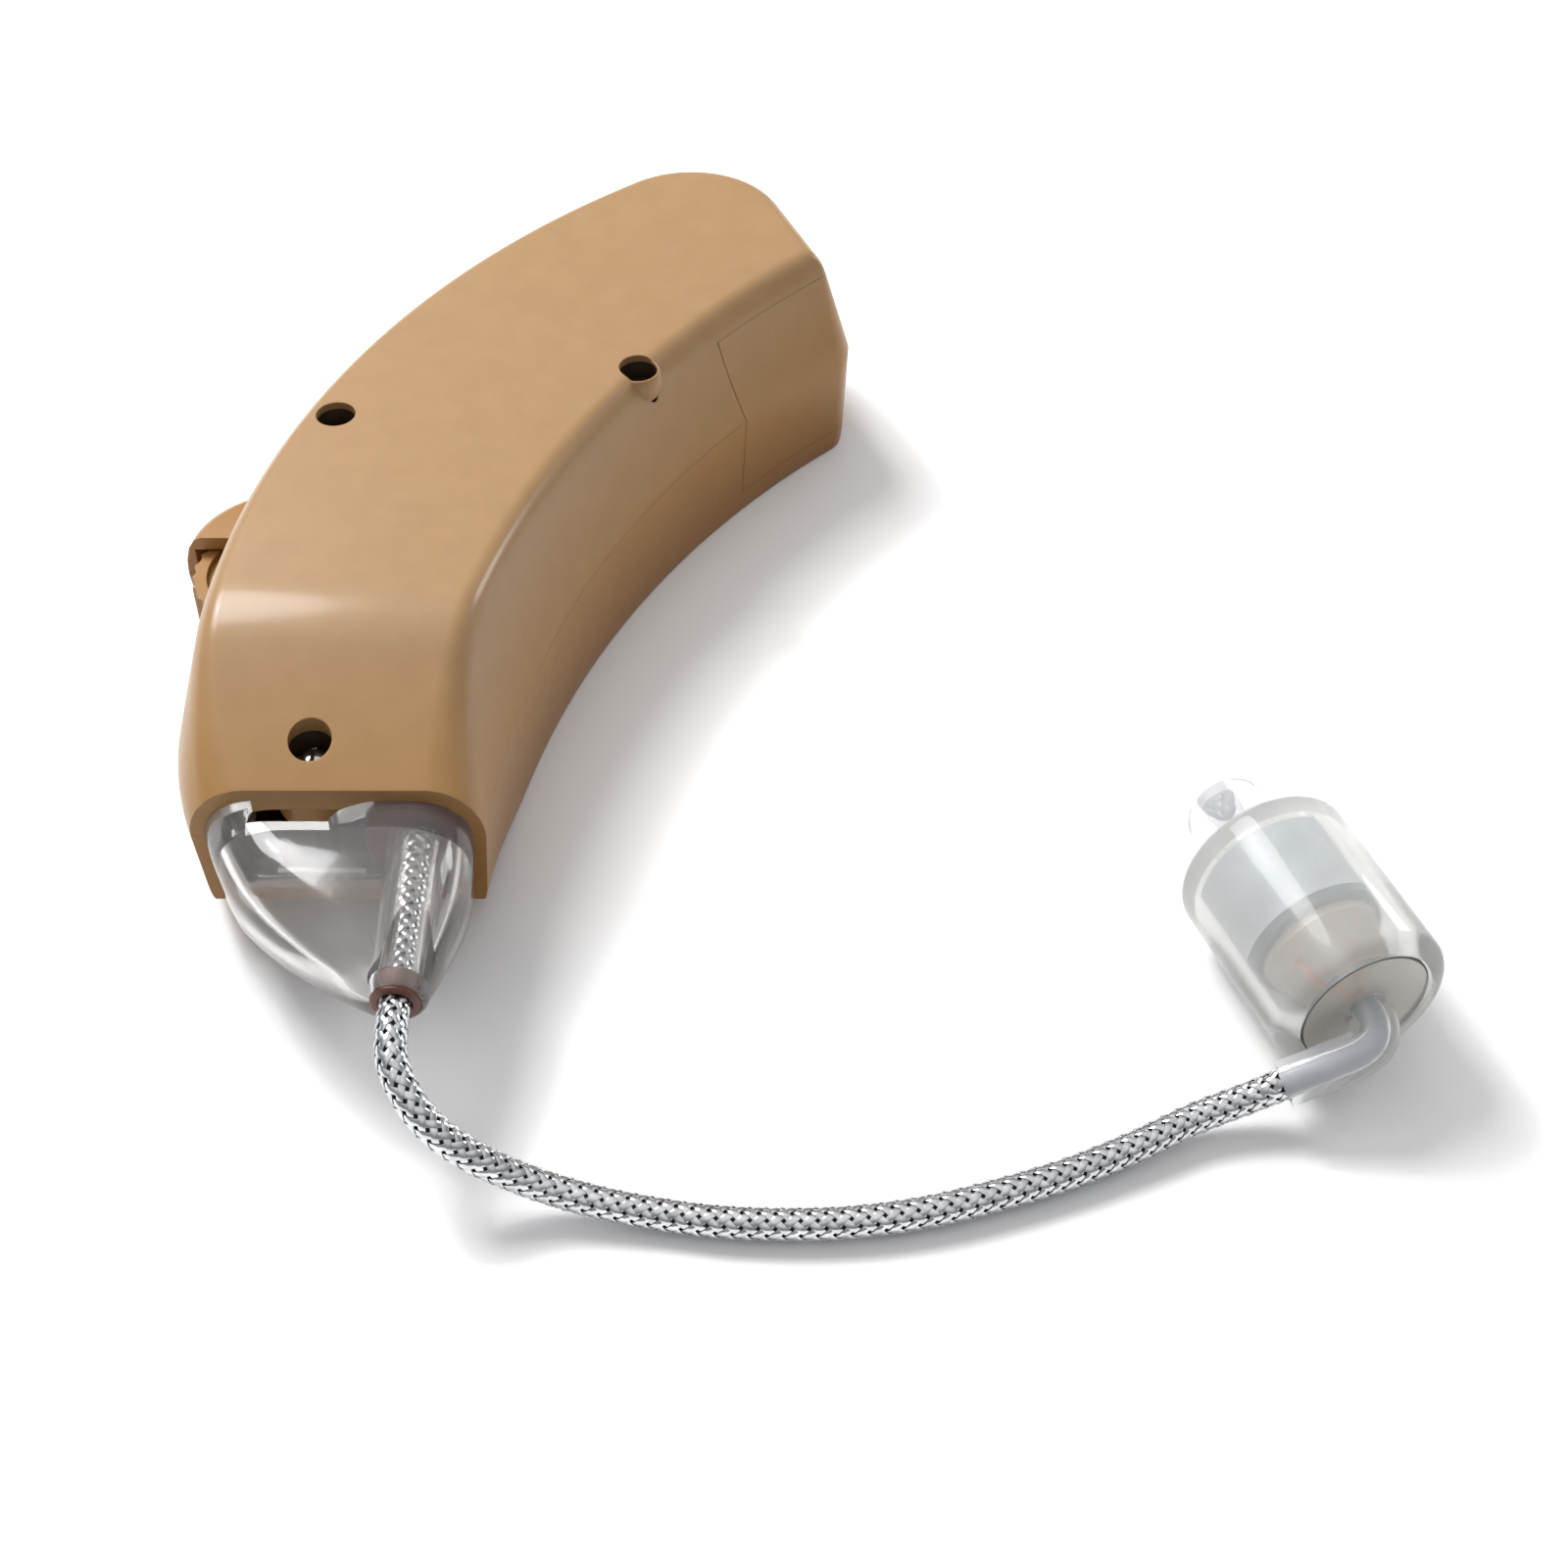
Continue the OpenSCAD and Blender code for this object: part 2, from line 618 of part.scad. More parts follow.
mic_sleeve_wall = 0.35;
mic_x = spine_x(crease_y, wall + top_draw / 2 + mic_sleeve_wall + mic_d / 2);
mic_y = crease_y;
mic_z = mid - 2 * seat_gap;
module microphone() color(steel) along_y(mic_x, mic_z, mic_y) {
    cylinder(d = mic_d, h = mic_len);
    cylinder(d = mic_d / 3, h = mic_len + over);
}
module microphone_sleeve() color(rubber) along_y(mic_x, mic_z, mic_y) difference() {
    translate([0, 0, mic_len / 3]) cylinder(d = mic_d + 2 * mic_sleeve_wall, h = mic_len / 2);
    cylinder(d = mic_d + 2 * seat_gap, h = mic_len);
}
module microphone_wires() color(copper) for (s = [-1, 0, 1])
    tube([
        [mic_x + s * mic_d / 4, mic_y + seat_gap, mic_z],
        [mic_x + s * mic_d / 4, mic_y + mic_len / 3, mic_z - mic_d / 8],
        [mic_x + s * mic_d / 4, mic_y + mic_len * 2 / 3, board_top + wire_d],
        [mic_x + s * mic_d / 4, mic_y + mic_len, board_top + wire_d * 2 / 3]], wire_d, 6);

// Clear nozzle: the mouth's section turns into the round end that the lead leaves by
// Rings: share of the length from the mouth (less than zero in the case), and the inset
skirt_share = -skirt_len / nozzle_len;
skirt_inset = wall + seat_gap - nozzle_step;
outer_rings = [[skirt_share, skirt_inset], [0, skirt_inset], [0, 0], [0.12, 0], [0.25, 0], [0.4, 0],
    [0.55, 0], [0.7, 0], [0.82, 0], [0.91, 0], [0.97, 0], [1, 0]];
cavity_rings = [[2 * skirt_share, skirt_inset + nozzle_wall], [0.06, skirt_inset + nozzle_wall],
    [0.12, nozzle_wall], [0.25, nozzle_wall], [0.4, nozzle_wall], [0.55, nozzle_wall], [0.7, nozzle_wall],
    [0.8, nozzle_wall], [0.83, nozzle_wall]];
end_r = nozzle_end_d / 2;
function nozzle_y(s) = mouth_y - s * nozzle_len;
function nozzle_low(s, d) = s < 1 ? spine_x(nozzle_y(s), nozzle_step + d) : lead_x - end_r + d;
function nozzle_high(s, d) =
    mix(hollow_x(nozzle_y(min(s, 0)), nozzle_step + d), lead_x + end_r - d, pow(max(s, 0), 2));
function nozzle_half(s, drop, d) =
    mix(half - drop * (1 + min(s, 0) * nozzle_len / tip_len) - nozzle_step, end_r, pow(max(s, 0), 2)) - d;
function nozzle_ring(s, d) =
    let (x0 = nozzle_low(s, d), x1 = nozzle_high(s, d), w = x1 - x0, levels = case_levels(),
         n = len(levels), round_share = pow(max(s, 0), 3 / 2))
    [for (side = [-1, 1], i = [0 : n - 1])
        let (l = levels[side < 0 ? i : n - 1 - i], a = 180 - side * 90 - (i + 1 / 2) / n * 180,
             ux = mix(side * (1 - 2 * l[0] / w), cos(a), round_share),
             uz = mix(l[1], sin(a), round_share))
        [(x0 + x1 + ux * w) / 2, nozzle_y(s), mid + uz * nozzle_half(s, uz > 0 ? tip_drop : tip_rise, d)]];

sleeve_top_y = mouth_y - seat_gap;
bush_d = lead_d + 2 * lead_gap + 2 * bush_wall;
bore_d = lead_d + 2 * lead_gap;
bush_y0 = nozzle_end_y + bush_len - bush_out;
bush_y1 = nozzle_end_y - bush_out;

module nozzle() color(clear_tint, 0.5) difference() {
    union() {
        difference() {
            loft([for (r = outer_rings) nozzle_ring(r[0], r[1])]);
            loft([for (r = cavity_rings) nozzle_ring(r[0], r[1])]);
        }
        along_y(lead_x, mid, sleeve_top_y)
            cylinder(d1 = sleeve_base_d, d2 = nozzle_end_d - 2 * door_gap, h = nozzle_len - end_r / 2);
    }
    along_y(lead_x, mid, mouth_y + skirt_len + over)
        cylinder(d = bore_d, h = nozzle_len + skirt_len + 2 * over);
    along_y(lead_x, mid, bush_y0) cylinder(d = bush_d + 2 * seat_gap, h = bush_len + over);
    translate([tip_screw_at.x - boss_d / 2 - door_gap, mouth_y + door_gap, 0])
        cube([boss_d + 2 * door_gap, 2 * skirt_len, case_thick]);
    translate([spine_x(mouth_y, inlet_inset - inlet_w / 2), mouth_y - inlet_depth, mid + nozzle_wall])
        cube([inlet_w, inlet_depth + 2 * skirt_len, half]);
}

module nozzle_seal() color(rubber) intersection() {
    case_form(wall + nozzle_wall + 2 * seat_gap);
    difference() {
        along_y(lead_x, mid, mouth_y + skirt_len) cylinder(d = seal_d, h = skirt_len - seat_gap);
        along_y(lead_x, mid, mouth_y + 2 * skirt_len) cylinder(d = bore_d, h = 3 * skirt_len);
        translate(tip_screw_at) rod(boss_d + 2 * door_gap, 0, case_thick);
    }
}

module lead_bush() color(rubber) difference() {
    along_y(lead_x, mid, bush_y0 - seat_gap) cylinder(d = bush_d, h = bush_len - seat_gap);
    along_y(lead_x, mid, bush_y0 + over) cylinder(d = bore_d, h = bush_len + 2 * over);
}

module lead_tail() color(steel) along_y(lead_x, mid, crimp_y0 - seat_gap)
    cylinder(d = lead_d, h = crimp_y0 - seat_gap - bush_y1);
module lead_crimp() color(brass) difference() {
    along_y(lead_x, mid, crimp_y0) cylinder(d = crimp_d, h = crimp_len);
    along_y(lead_x, mid, crimp_y0 + over) cylinder(d = lead_d + 2 * seat_gap, h = crimp_len + 2 * over);
}
module lead_wires() color(copper) for (s = [-1, 0, 1])
    tube([
        [lead_x + s * wire_d, crimp_y0, mid],
        [lead_x + s * wire_d, crimp_y0 + crimp_len / 3, mid],
        [lead_x + s * wire_d * 2, crimp_y0 + crimp_len, (mid + board_top) / 2],
        [lead_x + s * wire_d * 2, crimp_y0 + crimp_len * 5 / 3, board_top + wire_d],
        [lead_x + s * wire_d * 2, crimp_y0 + crimp_len * 7 / 3, board_top + wire_d * 2 / 3]], wire_d, 6);

// The receiver lies on its side, its nub pointing back past the case
receiver_at = [21.6, -33.5];
receiver_turn = 111;
receiver_r = receiver_d / 2;
bowl_r = receiver_r - receiver_wall;
back = -receiver_len / 2;
front = receiver_len / 2;
capsule_back = front - receiver_end_wall - seat_gap - capsule_len;
capsule_r = bowl_r - seat_gap;
capsule_wall = receiver_end_wall / 2;

// Places a child so that its Z runs along the receiver towards the nub
module in_receiver() {
    translate([receiver_at.x, receiver_at.y, receiver_r]) rotate(receiver_turn) rotate([0, 90, 0]) children();
}

function edge_arc(r, z, e, a0, a1) = [for (t = steps(5)) [r - e, z] + e * dir(mix(a0, a1, t))];
module receiver_case() color(clear_tint, 0.6) in_receiver() difference() {
    rotate_extrude() polygon(concat(
        [[0, back]], edge_arc(receiver_r, back + receiver_edge, receiver_edge, -90, 0),
        edge_arc(receiver_r, front - receiver_edge, receiver_edge, 0, 90), [[0, front]]));
    rod(2 * bowl_r, back - over, front - receiver_end_wall);
    rod(sound_d + 4 * capsule_wall, front - 2 * receiver_end_wall, front + over);
}

module receiver_cap() color(clear_tint, 0.6) in_receiver() difference() {
    rod(2 * (bowl_r - run_gap), back + cap_t / 4, back + cap_t);
    rod(bore_d, back - over, front);
}

// Clear nub, seated through the end wall: a neck, then a domed bulb that holds an ear tip
nub_neck = nub_len / 3;
nub_wall = nub_len / 4;
module sound_nub() color(clear_tint, 0.6) in_receiver() {
    root = front - receiver_end_wall + seat_gap;
    foot_r = sound_d / 2 + 2 * capsule_wall - seat_gap;
    bulb_r = nub_d / 2;
    neck_r = bulb_r - capsule_wall;
    dome_z = front + nub_neck + capsule_wall + nub_wall;
    dome_h = front + nub_len - dome_z;
    last_turn = acos(sound_d / nub_d);
    rotate_extrude() polygon(concat(
        [[sound_d / 2, root], [foot_r, root], [foot_r, front + seat_gap], [neck_r, front + seat_gap],
         [neck_r, front + nub_neck], [bulb_r, front + nub_neck + capsule_wall]],
        [for (t = steps(7)) [bulb_r * cos(t * last_turn), dome_z + dome_h * sin(t * last_turn)]]));
}

// Share of the passage's diameter at which the screen's holes stand
screen_share = 0.29;
module wax_screen() color(steel) in_receiver() difference() {
    rod(sound_d - 2 * seat_gap, front + nub_len - 2 * capsule_wall, front + nub_len - capsule_wall);
    hole = sound_d / 6;
    for (i = [0 : 5]) rotate(60 * i) translate([sound_d * screen_share, 0, 0])
        rod(hole, front, front + 2 * nub_len);
    rod(hole, front, front + 2 * nub_len);
}

// Metal capsule: a can open at the back, with the speaker's works inside
module speaker_capsule() color(steel) in_receiver() difference() {
    rod(2 * capsule_r, capsule_back, capsule_back + capsule_len);
    rod(2 * (capsule_r - capsule_wall), capsule_back - over, capsule_back + capsule_len - capsule_wall);
    rod(sound_d, capsule_back, front);
}
works_r = capsule_r - capsule_wall - seat_gap;
magnet_top = capsule_back + capsule_len / 2;
module speaker_magnet() color(graphite) in_receiver() {
    difference() {
        rod(2 * works_r, capsule_back + capsule_wall, magnet_top);
        rod(2 * (works_r - 2 * capsule_wall), capsule_back + 3 * capsule_wall, magnet_top + over);
    }
    rod(works_r, capsule_back + 2 * capsule_wall, magnet_top);
}
module speaker_coil() color(copper) in_receiver() difference() {
    rod(works_r + 2 * capsule_wall, capsule_back + 3 * capsule_wall + run_gap, magnet_top + capsule_wall);
    rod(works_r + 2 * run_gap, capsule_back, front);
}
module speaker_diaphragm() color(clear_tint) in_receiver()
    rod(2 * works_r, magnet_top + capsule_wall + seat_gap, magnet_top + capsule_wall * 3 / 2);

module terminal_disc() color(board_green) in_receiver() difference() {
    rod(2 * works_r, capsule_back - capsule_wall, capsule_back + capsule_wall - seat_gap);
    for (s = [-1, 1]) translate([0, s * works_r / 2, 0]) rod(wire_d, back, capsule_back + capsule_wall);
}
module receiver_wires() color(copper) in_receiver() for (s = [-1, 1])
    tube([
        [0, s * wire_d * 2 / 3, back + cap_t / 2],
        [0, s * wire_d * 2 / 3, back + cap_t + run_gap],
        [wire_d, s * works_r / 3, (back + cap_t + capsule_back - capsule_wall) / 2],
        [0, s * works_r / 2, capsule_back - capsule_wall - seat_gap]], wire_d, 6, [1, 0, 0]);

// Clear strain relief: an elbow that leaves the cap's middle and bends round to meet the lead
relief_out = 1.5;
relief_end = [20.1, -38.95, 1.7];
nose = [cos(receiver_turn), sin(receiver_turn), 0];
receiver_mid = [receiver_at.x, receiver_at.y, receiver_r];
relief_root = receiver_mid + (back + cap_t / 4 - seat_gap) * nose;
relief_bend = receiver_mid + (back - relief_out) * nose;
relief_along = unit(relief_end - relief_bend);
// Middle line from the cap, through a rounded bend, to the lead; the ends are drawn out by g
function relief_route(g = 0) = concat(
    [relief_root + g * nose],
    [for (t = steps(6)) relief_bend
        + (pow(1 - t, 2) * nose + pow(t, 2) * relief_along) * (relief_out - 2 * seat_gap)],
    [relief_end + g * relief_along]);
module strain_relief() color(clear_tint, 0.6) difference() {
    tube(relief_route(), relief_d, 16);
    tube(relief_route(over), bore_d, 12);
}
module lead_end() color(graphite) tube(relief_route(), lead_d, 12);

// Middle line of the free lead, chosen by hand: it leaves the nozzle straight, sags to the
// surface, lies along it and rises into the receiver's strain relief. Its ends are straight.
lead_points = [
    [-8.7, -40.3, 4.5], [-8.2, -41.2, 3.95], [-7.4, -41.9, 3.2], [-6.3, -42.3, 2.4],
    [-5.1, -42.5, 1.7], [-3.8, -42.7, 1.15], [-2.2, -43, 0.8], [-0.4, -43.3, 0.62],
    [1.6, -43.6, 0.6], [3.8, -43.7, 0.6], [6, -43.6, 0.6], [8.4, -43.2, 0.6],
    [10.8, -42.5, 0.6], [13, -41.7, 0.6], [15.2, -40.7, 0.68], [17.2, -39.7, 0.84]];
lead_start = [lead_x, bush_y1, mid];
lead_route = concat(
    [lead_start, lead_start - [0, lead_d, 0]], lead_points, [relief_end + lead_d * relief_along, relief_end]);
module lead() color(steel) tube(lead_route, lead_d, 8);

upper_shell();
lower_shell();
case_screws();
battery_door();
door_pin();
battery();
contact_positive();
contact_negative();
volume_wheel();
wheel_axle();
volume_control();
circuit_board();
amplifier_chip();
capacitors();
microphone();
microphone_sleeve();
microphone_wires();
nozzle();
nozzle_seal();
lead_bush();
lead();
lead_tail();
lead_crimp();
lead_wires();
receiver_case();
receiver_cap();
sound_nub();
wax_screen();
speaker_capsule();
speaker_magnet();
speaker_coil();
speaker_diaphragm();
terminal_disc();
receiver_wires();
strain_relief();
lead_end();
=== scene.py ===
import bmesh
import bpy
import json
import math
from mathutils import Matrix, Vector


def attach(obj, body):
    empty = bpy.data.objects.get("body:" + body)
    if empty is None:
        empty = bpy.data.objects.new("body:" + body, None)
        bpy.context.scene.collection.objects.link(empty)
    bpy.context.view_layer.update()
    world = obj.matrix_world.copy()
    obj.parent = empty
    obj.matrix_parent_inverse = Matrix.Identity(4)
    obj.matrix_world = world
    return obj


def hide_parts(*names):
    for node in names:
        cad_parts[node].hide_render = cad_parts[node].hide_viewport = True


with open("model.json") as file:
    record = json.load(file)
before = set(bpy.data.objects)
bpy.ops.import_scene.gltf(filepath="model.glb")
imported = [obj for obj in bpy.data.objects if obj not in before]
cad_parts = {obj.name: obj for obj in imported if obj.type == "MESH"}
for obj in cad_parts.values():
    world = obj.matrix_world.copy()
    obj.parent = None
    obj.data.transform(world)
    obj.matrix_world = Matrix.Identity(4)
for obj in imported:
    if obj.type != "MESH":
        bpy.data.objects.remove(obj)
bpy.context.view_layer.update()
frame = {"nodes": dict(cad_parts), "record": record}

# Shapes are given in millimetres and made in metres
MM = 0.001
# Height of the case's top above the table, and the gap that keeps seated pieces apart
CASE_TOP = 9.6
FIT = 0.02
collection = bpy.context.scene.collection


def deg(a):
    return math.radians(a)


def heading(a):
    return Vector((math.cos(deg(a)), math.sin(deg(a))))


def mix(a, b, t):
    return a + (b - a) * t


def steps(n):
    return [i / n for i in range(n + 1)]


# Meshes

def shade(ob, angle=35):
    me = ob.data
    me.polygons.foreach_set("use_smooth", [True] * len(me.polygons))
    me.set_sharp_from_angle(angle=deg(angle))
    me.update()
    return ob


def add_mesh(name, verts, faces):
    """Object from points in millimetres, with its faces turned outwards."""
    me = bpy.data.meshes.new(name)
    me.from_pydata([tuple(c * MM for c in v) for v in verts], [], faces)
    bm = bmesh.new()
    bm.from_mesh(me)
    bmesh.ops.recalc_face_normals(bm, faces=bm.faces)
    bm.to_mesh(me)
    bm.free()
    me.update()
    ob = bpy.data.objects.new(name, me)
    collection.objects.link(ob)
    return shade(ob)


def drop(ob):
    me = ob.data
    bpy.data.objects.remove(ob)
    bpy.data.meshes.remove(me)


def boolean(ob, other, operation="DIFFERENCE", keep=False):
    """Applies a boolean at once and drops the other solid, which may reach well past the part."""
    mod = ob.modifiers.new("cut", "BOOLEAN")
    mod.operation = operation
    mod.solver = "MANIFOLD"
    mod.object = other
    graph = bpy.context.evaluated_depsgraph_get()
    me = bpy.data.meshes.new_from_object(ob.evaluated_get(graph))
    ob.modifiers.clear()
    old = ob.data
    ob.data = me
    bpy.data.meshes.remove(old)
    if not keep:
        drop(other)
    return shade(ob)


def union(ob, other):
    return boolean(ob, other, "UNION")


def common(ob, other):
    return boolean(ob, other, "INTERSECT")


def loft(name, rings, strips=False):
    """Closed solid through rings of equal length; strips bridges the two sides of an end."""
    m, n = len(rings[0]), len(rings)
    faces = [(i * m + k, i * m + (k + 1) % m, (i + 1) * m + (k + 1) % m, (i + 1) * m + k)
             for i in range(n - 1) for k in range(m)]
    top = (n - 1) * m
    if strips:
        for i in range(m // 2 - 1):
            j = m - 1 - i
            faces.append((j, j - 1, i + 1, i))
            faces.append((top + i, top + i + 1, top + j - 1, top + j))
    else:
        faces.append(tuple(range(m - 1, -1, -1)))
        faces.append(tuple(top + k for k in range(m)))
    return add_mesh(name, [p for r in rings for p in r], faces)


def turned(name, profile, at=(0, 0, 0), axis=(0, 0, 1), sides=96, ring=False):
    """Solid of revolution of (radius, height) points; ring closes the profile on itself."""
    turn = Vector(axis).to_track_quat("Z", "Y")
    at = Vector(at)
    m = len(profile)
    verts = [at + turn @ Vector((r * math.cos(a), r * math.sin(a), z))
             for a in [2 * math.pi * k / sides for k in range(sides)] for r, z in profile]
    faces = []
    for k in range(sides):
        b = (k + 1) % sides
        for i in range(m if ring else m - 1):
            j = (i + 1) % m
            faces.append((k * m + i, b * m + i, b * m + j, k * m + j))
    if not ring:
        faces.append(tuple(k * m for k in range(sides - 1, -1, -1)))
        faces.append(tuple(k * m + m - 1 for k in range(sides)))
    return add_mesh(name, verts, faces)


def rod(at, r, z0, z1, axis=(0, 0, 1), sides=64):
    return turned("rod", [(r, z0), (r, z1)], at, axis, sides)


def block(lo, hi, turn=0):
    """Box between two corners, turned about Z through the origin."""
    c, s = math.cos(deg(turn)), math.sin(deg(turn))
    verts = [(x * c - y * s, x * s + y * c, z)
             for x in (lo[0], hi[0]) for y in (lo[1], hi[1]) for z in (lo[2], hi[2])]
    return add_mesh("block", verts, [(0, 1, 3, 2), (4, 6, 7, 5), (0, 4, 5, 1),
                                     (2, 3, 7, 6), (0, 2, 6, 4), (1, 5, 7, 3)])


def prism(plan, z0, z1):
    n = len(plan)
    verts = [(p[0], p[1], z0) for p in plan] + [(p[0], p[1], z1) for p in plan]
    faces = [tuple(range(n - 1, -1, -1)), tuple(range(n, 2 * n))]
    faces += [(k, (k + 1) % n, n + (k + 1) % n, n + k) for k in range(n)]
    return add_mesh("prism", verts, faces)


# Camera, fitted to the photograph's perspective

cam_data = bpy.data.cameras.new("camera")
cam_data.sensor_width = 36
cam_data.lens = 56.25
cam_data.clip_start = 0.001
cam_data.clip_end = 10
cam = bpy.data.objects.new("camera", cam_data)
cam.location = (0.0037, -0.0889, 0.0656)
cam.rotation_euler = (deg(45), 0, 0)
collection.objects.link(cam)
bpy.context.scene.camera = cam


# Materials

def new_material(name):
    mat = bpy.data.materials.new(name)
    mat.use_nodes = True
    return mat, mat.node_tree.nodes, mat.node_tree.links, mat.node_tree.nodes["Principled BSDF"]


def noise(nodes, links, scale, detail=3.0):
    coord = nodes.new("ShaderNodeTexCoord")
    tex = nodes.new("ShaderNodeTexNoise")
    tex.inputs["Scale"].default_value = scale
    tex.inputs["Detail"].default_value = detail
    tex.inputs["Roughness"].default_value = 0.55
    links.new(coord.outputs["Object"], tex.inputs["Vector"])
    return tex.outputs["Fac"]


def ramp(nodes, links, fac, stops):
    node = nodes.new("ShaderNodeValToRGB")
    el = node.color_ramp.elements
    el[0].position, el[0].color = stops[0][0], (*stops[0][1], 1)
    el[1].position, el[1].color = stops[1][0], (*stops[1][1], 1)
    for pos, col in stops[2:]:
        e = el.new(pos)
        e.color = (*col, 1)
    links.new(fac, node.inputs["Fac"])
    return node.outputs["Color"]


def paint_low_shade(nodes, links, colour):
    """The colour with painted shade, deeper and warmer towards the table, where the case's sides lie in
    shade.
    """
    coord = nodes.new("ShaderNodeTexCoord")
    split = nodes.new("ShaderNodeSeparateXYZ")
    links.new(coord.outputs["Object"], split.inputs["Vector"])
    height = nodes.new("ShaderNodeMapRange")
    height.inputs["From Max"].default_value = CASE_TOP * MM
    links.new(split.outputs["Z"], height.inputs["Value"])
    # Painted shade: this ramp darkens and warms the colour low on the case and leaves it whole at the top
    depth = ramp(nodes, links, height.outputs["Result"],
                 [(0.0, (0.68, 0.50, 0.22)), (0.45, (0.88, 0.70, 0.34)), (0.78, (0.97, 0.90, 0.74)),
                  (1.0, (1.0, 1.0, 1.0))])
    # The mix node's sockets for colours: 0 is the factor, 6 and 7 the colours, 2 the result
    mixed = nodes.new("ShaderNodeMix")
    mixed.data_type = "RGBA"
    mixed.blend_type = "MULTIPLY"
    mixed.inputs[0].default_value = 1.0
    links.new(colour, mixed.inputs[6])
    links.new(depth, mixed.inputs[7])
    return mixed.outputs[2]


def finish_surface(name, low, high, roughness, metal=0.0, scale=900.0, bump=0.0, bump_scale=6000.0,
                   edge=0.0, spread=0.06, low_shade=False, **extra):
    """Material whose colour and roughness wander between two close values; it may carry painted shade
    towards the table.
    """
    mat, nodes, links, bsdf = new_material(name)
    colour = ramp(nodes, links, noise(nodes, links, scale), [(0.3, low), (0.7, high)])
    if low_shade:
        colour = paint_low_shade(nodes, links, colour)
    links.new(colour, bsdf.inputs["Base Color"])
    rng = nodes.new("ShaderNodeMapRange")
    rng.inputs["To Min"].default_value = max(roughness - spread, 0)
    rng.inputs["To Max"].default_value = roughness + spread
    links.new(noise(nodes, links, scale * 2.7), rng.inputs["Value"])
    links.new(rng.outputs["Result"], bsdf.inputs["Roughness"])
    bsdf.inputs["Metallic"].default_value = metal
    normal = None
    if edge:
        bevel = nodes.new("ShaderNodeBevel")
        bevel.samples = 6
        bevel.inputs["Radius"].default_value = edge * MM
        normal = bevel.outputs["Normal"]
    if bump:
        node = nodes.new("ShaderNodeBump")
        node.inputs["Strength"].default_value = bump
        node.inputs["Distance"].default_value = 0.02 * MM
        links.new(noise(nodes, links, bump_scale, 4.0), node.inputs["Height"])
        if normal:
            links.new(normal, node.inputs["Normal"])
        normal = node.outputs["Normal"]
    if normal:
        links.new(normal, bsdf.inputs["Normal"])
    for key, value in extra.items():
        bsdf.inputs[key.replace("_", " ")].default_value = value
    return mat


# The case's beige carries painted shade: darker and warmer towards the table
beige = finish_surface("beige_plastic", (0.345, 0.207, 0.096), (0.368, 0.224, 0.106), 0.45, bump=0.12,
                       edge=0.06, low_shade=True, IOR=1.3, Coat_Weight=0.28, Coat_Roughness=0.16,
                       Subsurface_Weight=0.12, Subsurface_Scale=0.0005)
clear = finish_surface("clear_plastic", (0.88, 0.87, 0.86), (0.92, 0.91, 0.90), 0.12, spread=0.03,
                       Transmission_Weight=0.94, IOR=1.23, Coat_Weight=0.3, Coat_Roughness=0.05)
milky = finish_surface("milky_plastic", (0.87, 0.87, 0.85), (0.91, 0.91, 0.89), 0.2, spread=0.03,
                       Transmission_Weight=0.78, IOR=1.14, Coat_Weight=0.14, Coat_Roughness=0.02)
cloudy = finish_surface("cloudy_plastic", (0.80, 0.77, 0.72), (0.86, 0.83, 0.79), 0.3, spread=0.04,
                        Transmission_Weight=0.6, IOR=1.12)
frosted = finish_surface("frosted_plastic", (0.88, 0.89, 0.89), (0.92, 0.93, 0.93), 0.2, spread=0.03,
                         Transmission_Weight=0.78, IOR=1.16, Coat_Weight=0.5, Coat_Roughness=0.05)
faint = finish_surface("faint_plastic", (0.93, 0.93, 0.94), (0.96, 0.96, 0.97), 0.12, spread=0.03,
                       Transmission_Weight=0.85, IOR=1.12)
steel = finish_surface("steel", (0.52, 0.53, 0.55), (0.66, 0.67, 0.69), 0.3, metal=1.0)
nickel = finish_surface("nickel", (0.45, 0.50, 0.56), (0.55, 0.60, 0.66), 0.2, metal=1.0)
can = finish_surface("pale_can", (0.52, 0.58, 0.63), (0.60, 0.66, 0.71), 0.55, metal=0.1)
blued = finish_surface("blued_steel", (0.01, 0.05, 0.08), (0.02, 0.07, 0.11), 0.4)
jacket = finish_surface("grey_jacket", (0.34, 0.37, 0.45), (0.44, 0.47, 0.54), 0.5)
# Painted shade for the groove round the receiver's cap
shadow = finish_surface("painted_groove_shade", (0.10, 0.095, 0.09), (0.15, 0.14, 0.135), 0.6)
pit = finish_surface("shaded_recess", (0.030, 0.014, 0.004), (0.045, 0.022, 0.008), 0.5)
chrome = finish_surface("dark_chrome", (0.46, 0.44, 0.40), (0.60, 0.58, 0.54), 0.13, metal=1.0)
rosy = finish_surface("rosy_board", (0.58, 0.47, 0.40), (0.66, 0.55, 0.48), 0.4)
pale = finish_surface("pale_mesh", (0.86, 0.87, 0.88), (0.92, 0.93, 0.94), 0.5)
red_brown = finish_surface("red_brown_rubber", (0.075, 0.016, 0.009), (0.11, 0.026, 0.016), 0.55, IOR=1.2)
silver = finish_surface("silver_braid", (0.60, 0.61, 0.63), (0.88, 0.89, 0.91), 0.19, metal=1.0, scale=2500)
core = finish_surface("braid_core", (0.015, 0.015, 0.017), (0.03, 0.03, 0.032), 0.7)
brass = finish_surface("brass", (0.45, 0.30, 0.10), (0.62, 0.44, 0.18), 0.32, metal=1.0)
copper = finish_surface("copper", (0.66, 0.26, 0.14), (0.80, 0.36, 0.21), 0.34, metal=1.0)
brown = finish_surface("brown_rubber", (0.11, 0.035, 0.022), (0.17, 0.06, 0.04), 0.42, bump=0.2)
black = finish_surface("black_rubber", (0.018, 0.018, 0.02), (0.04, 0.04, 0.042), 0.6, bump=0.3)
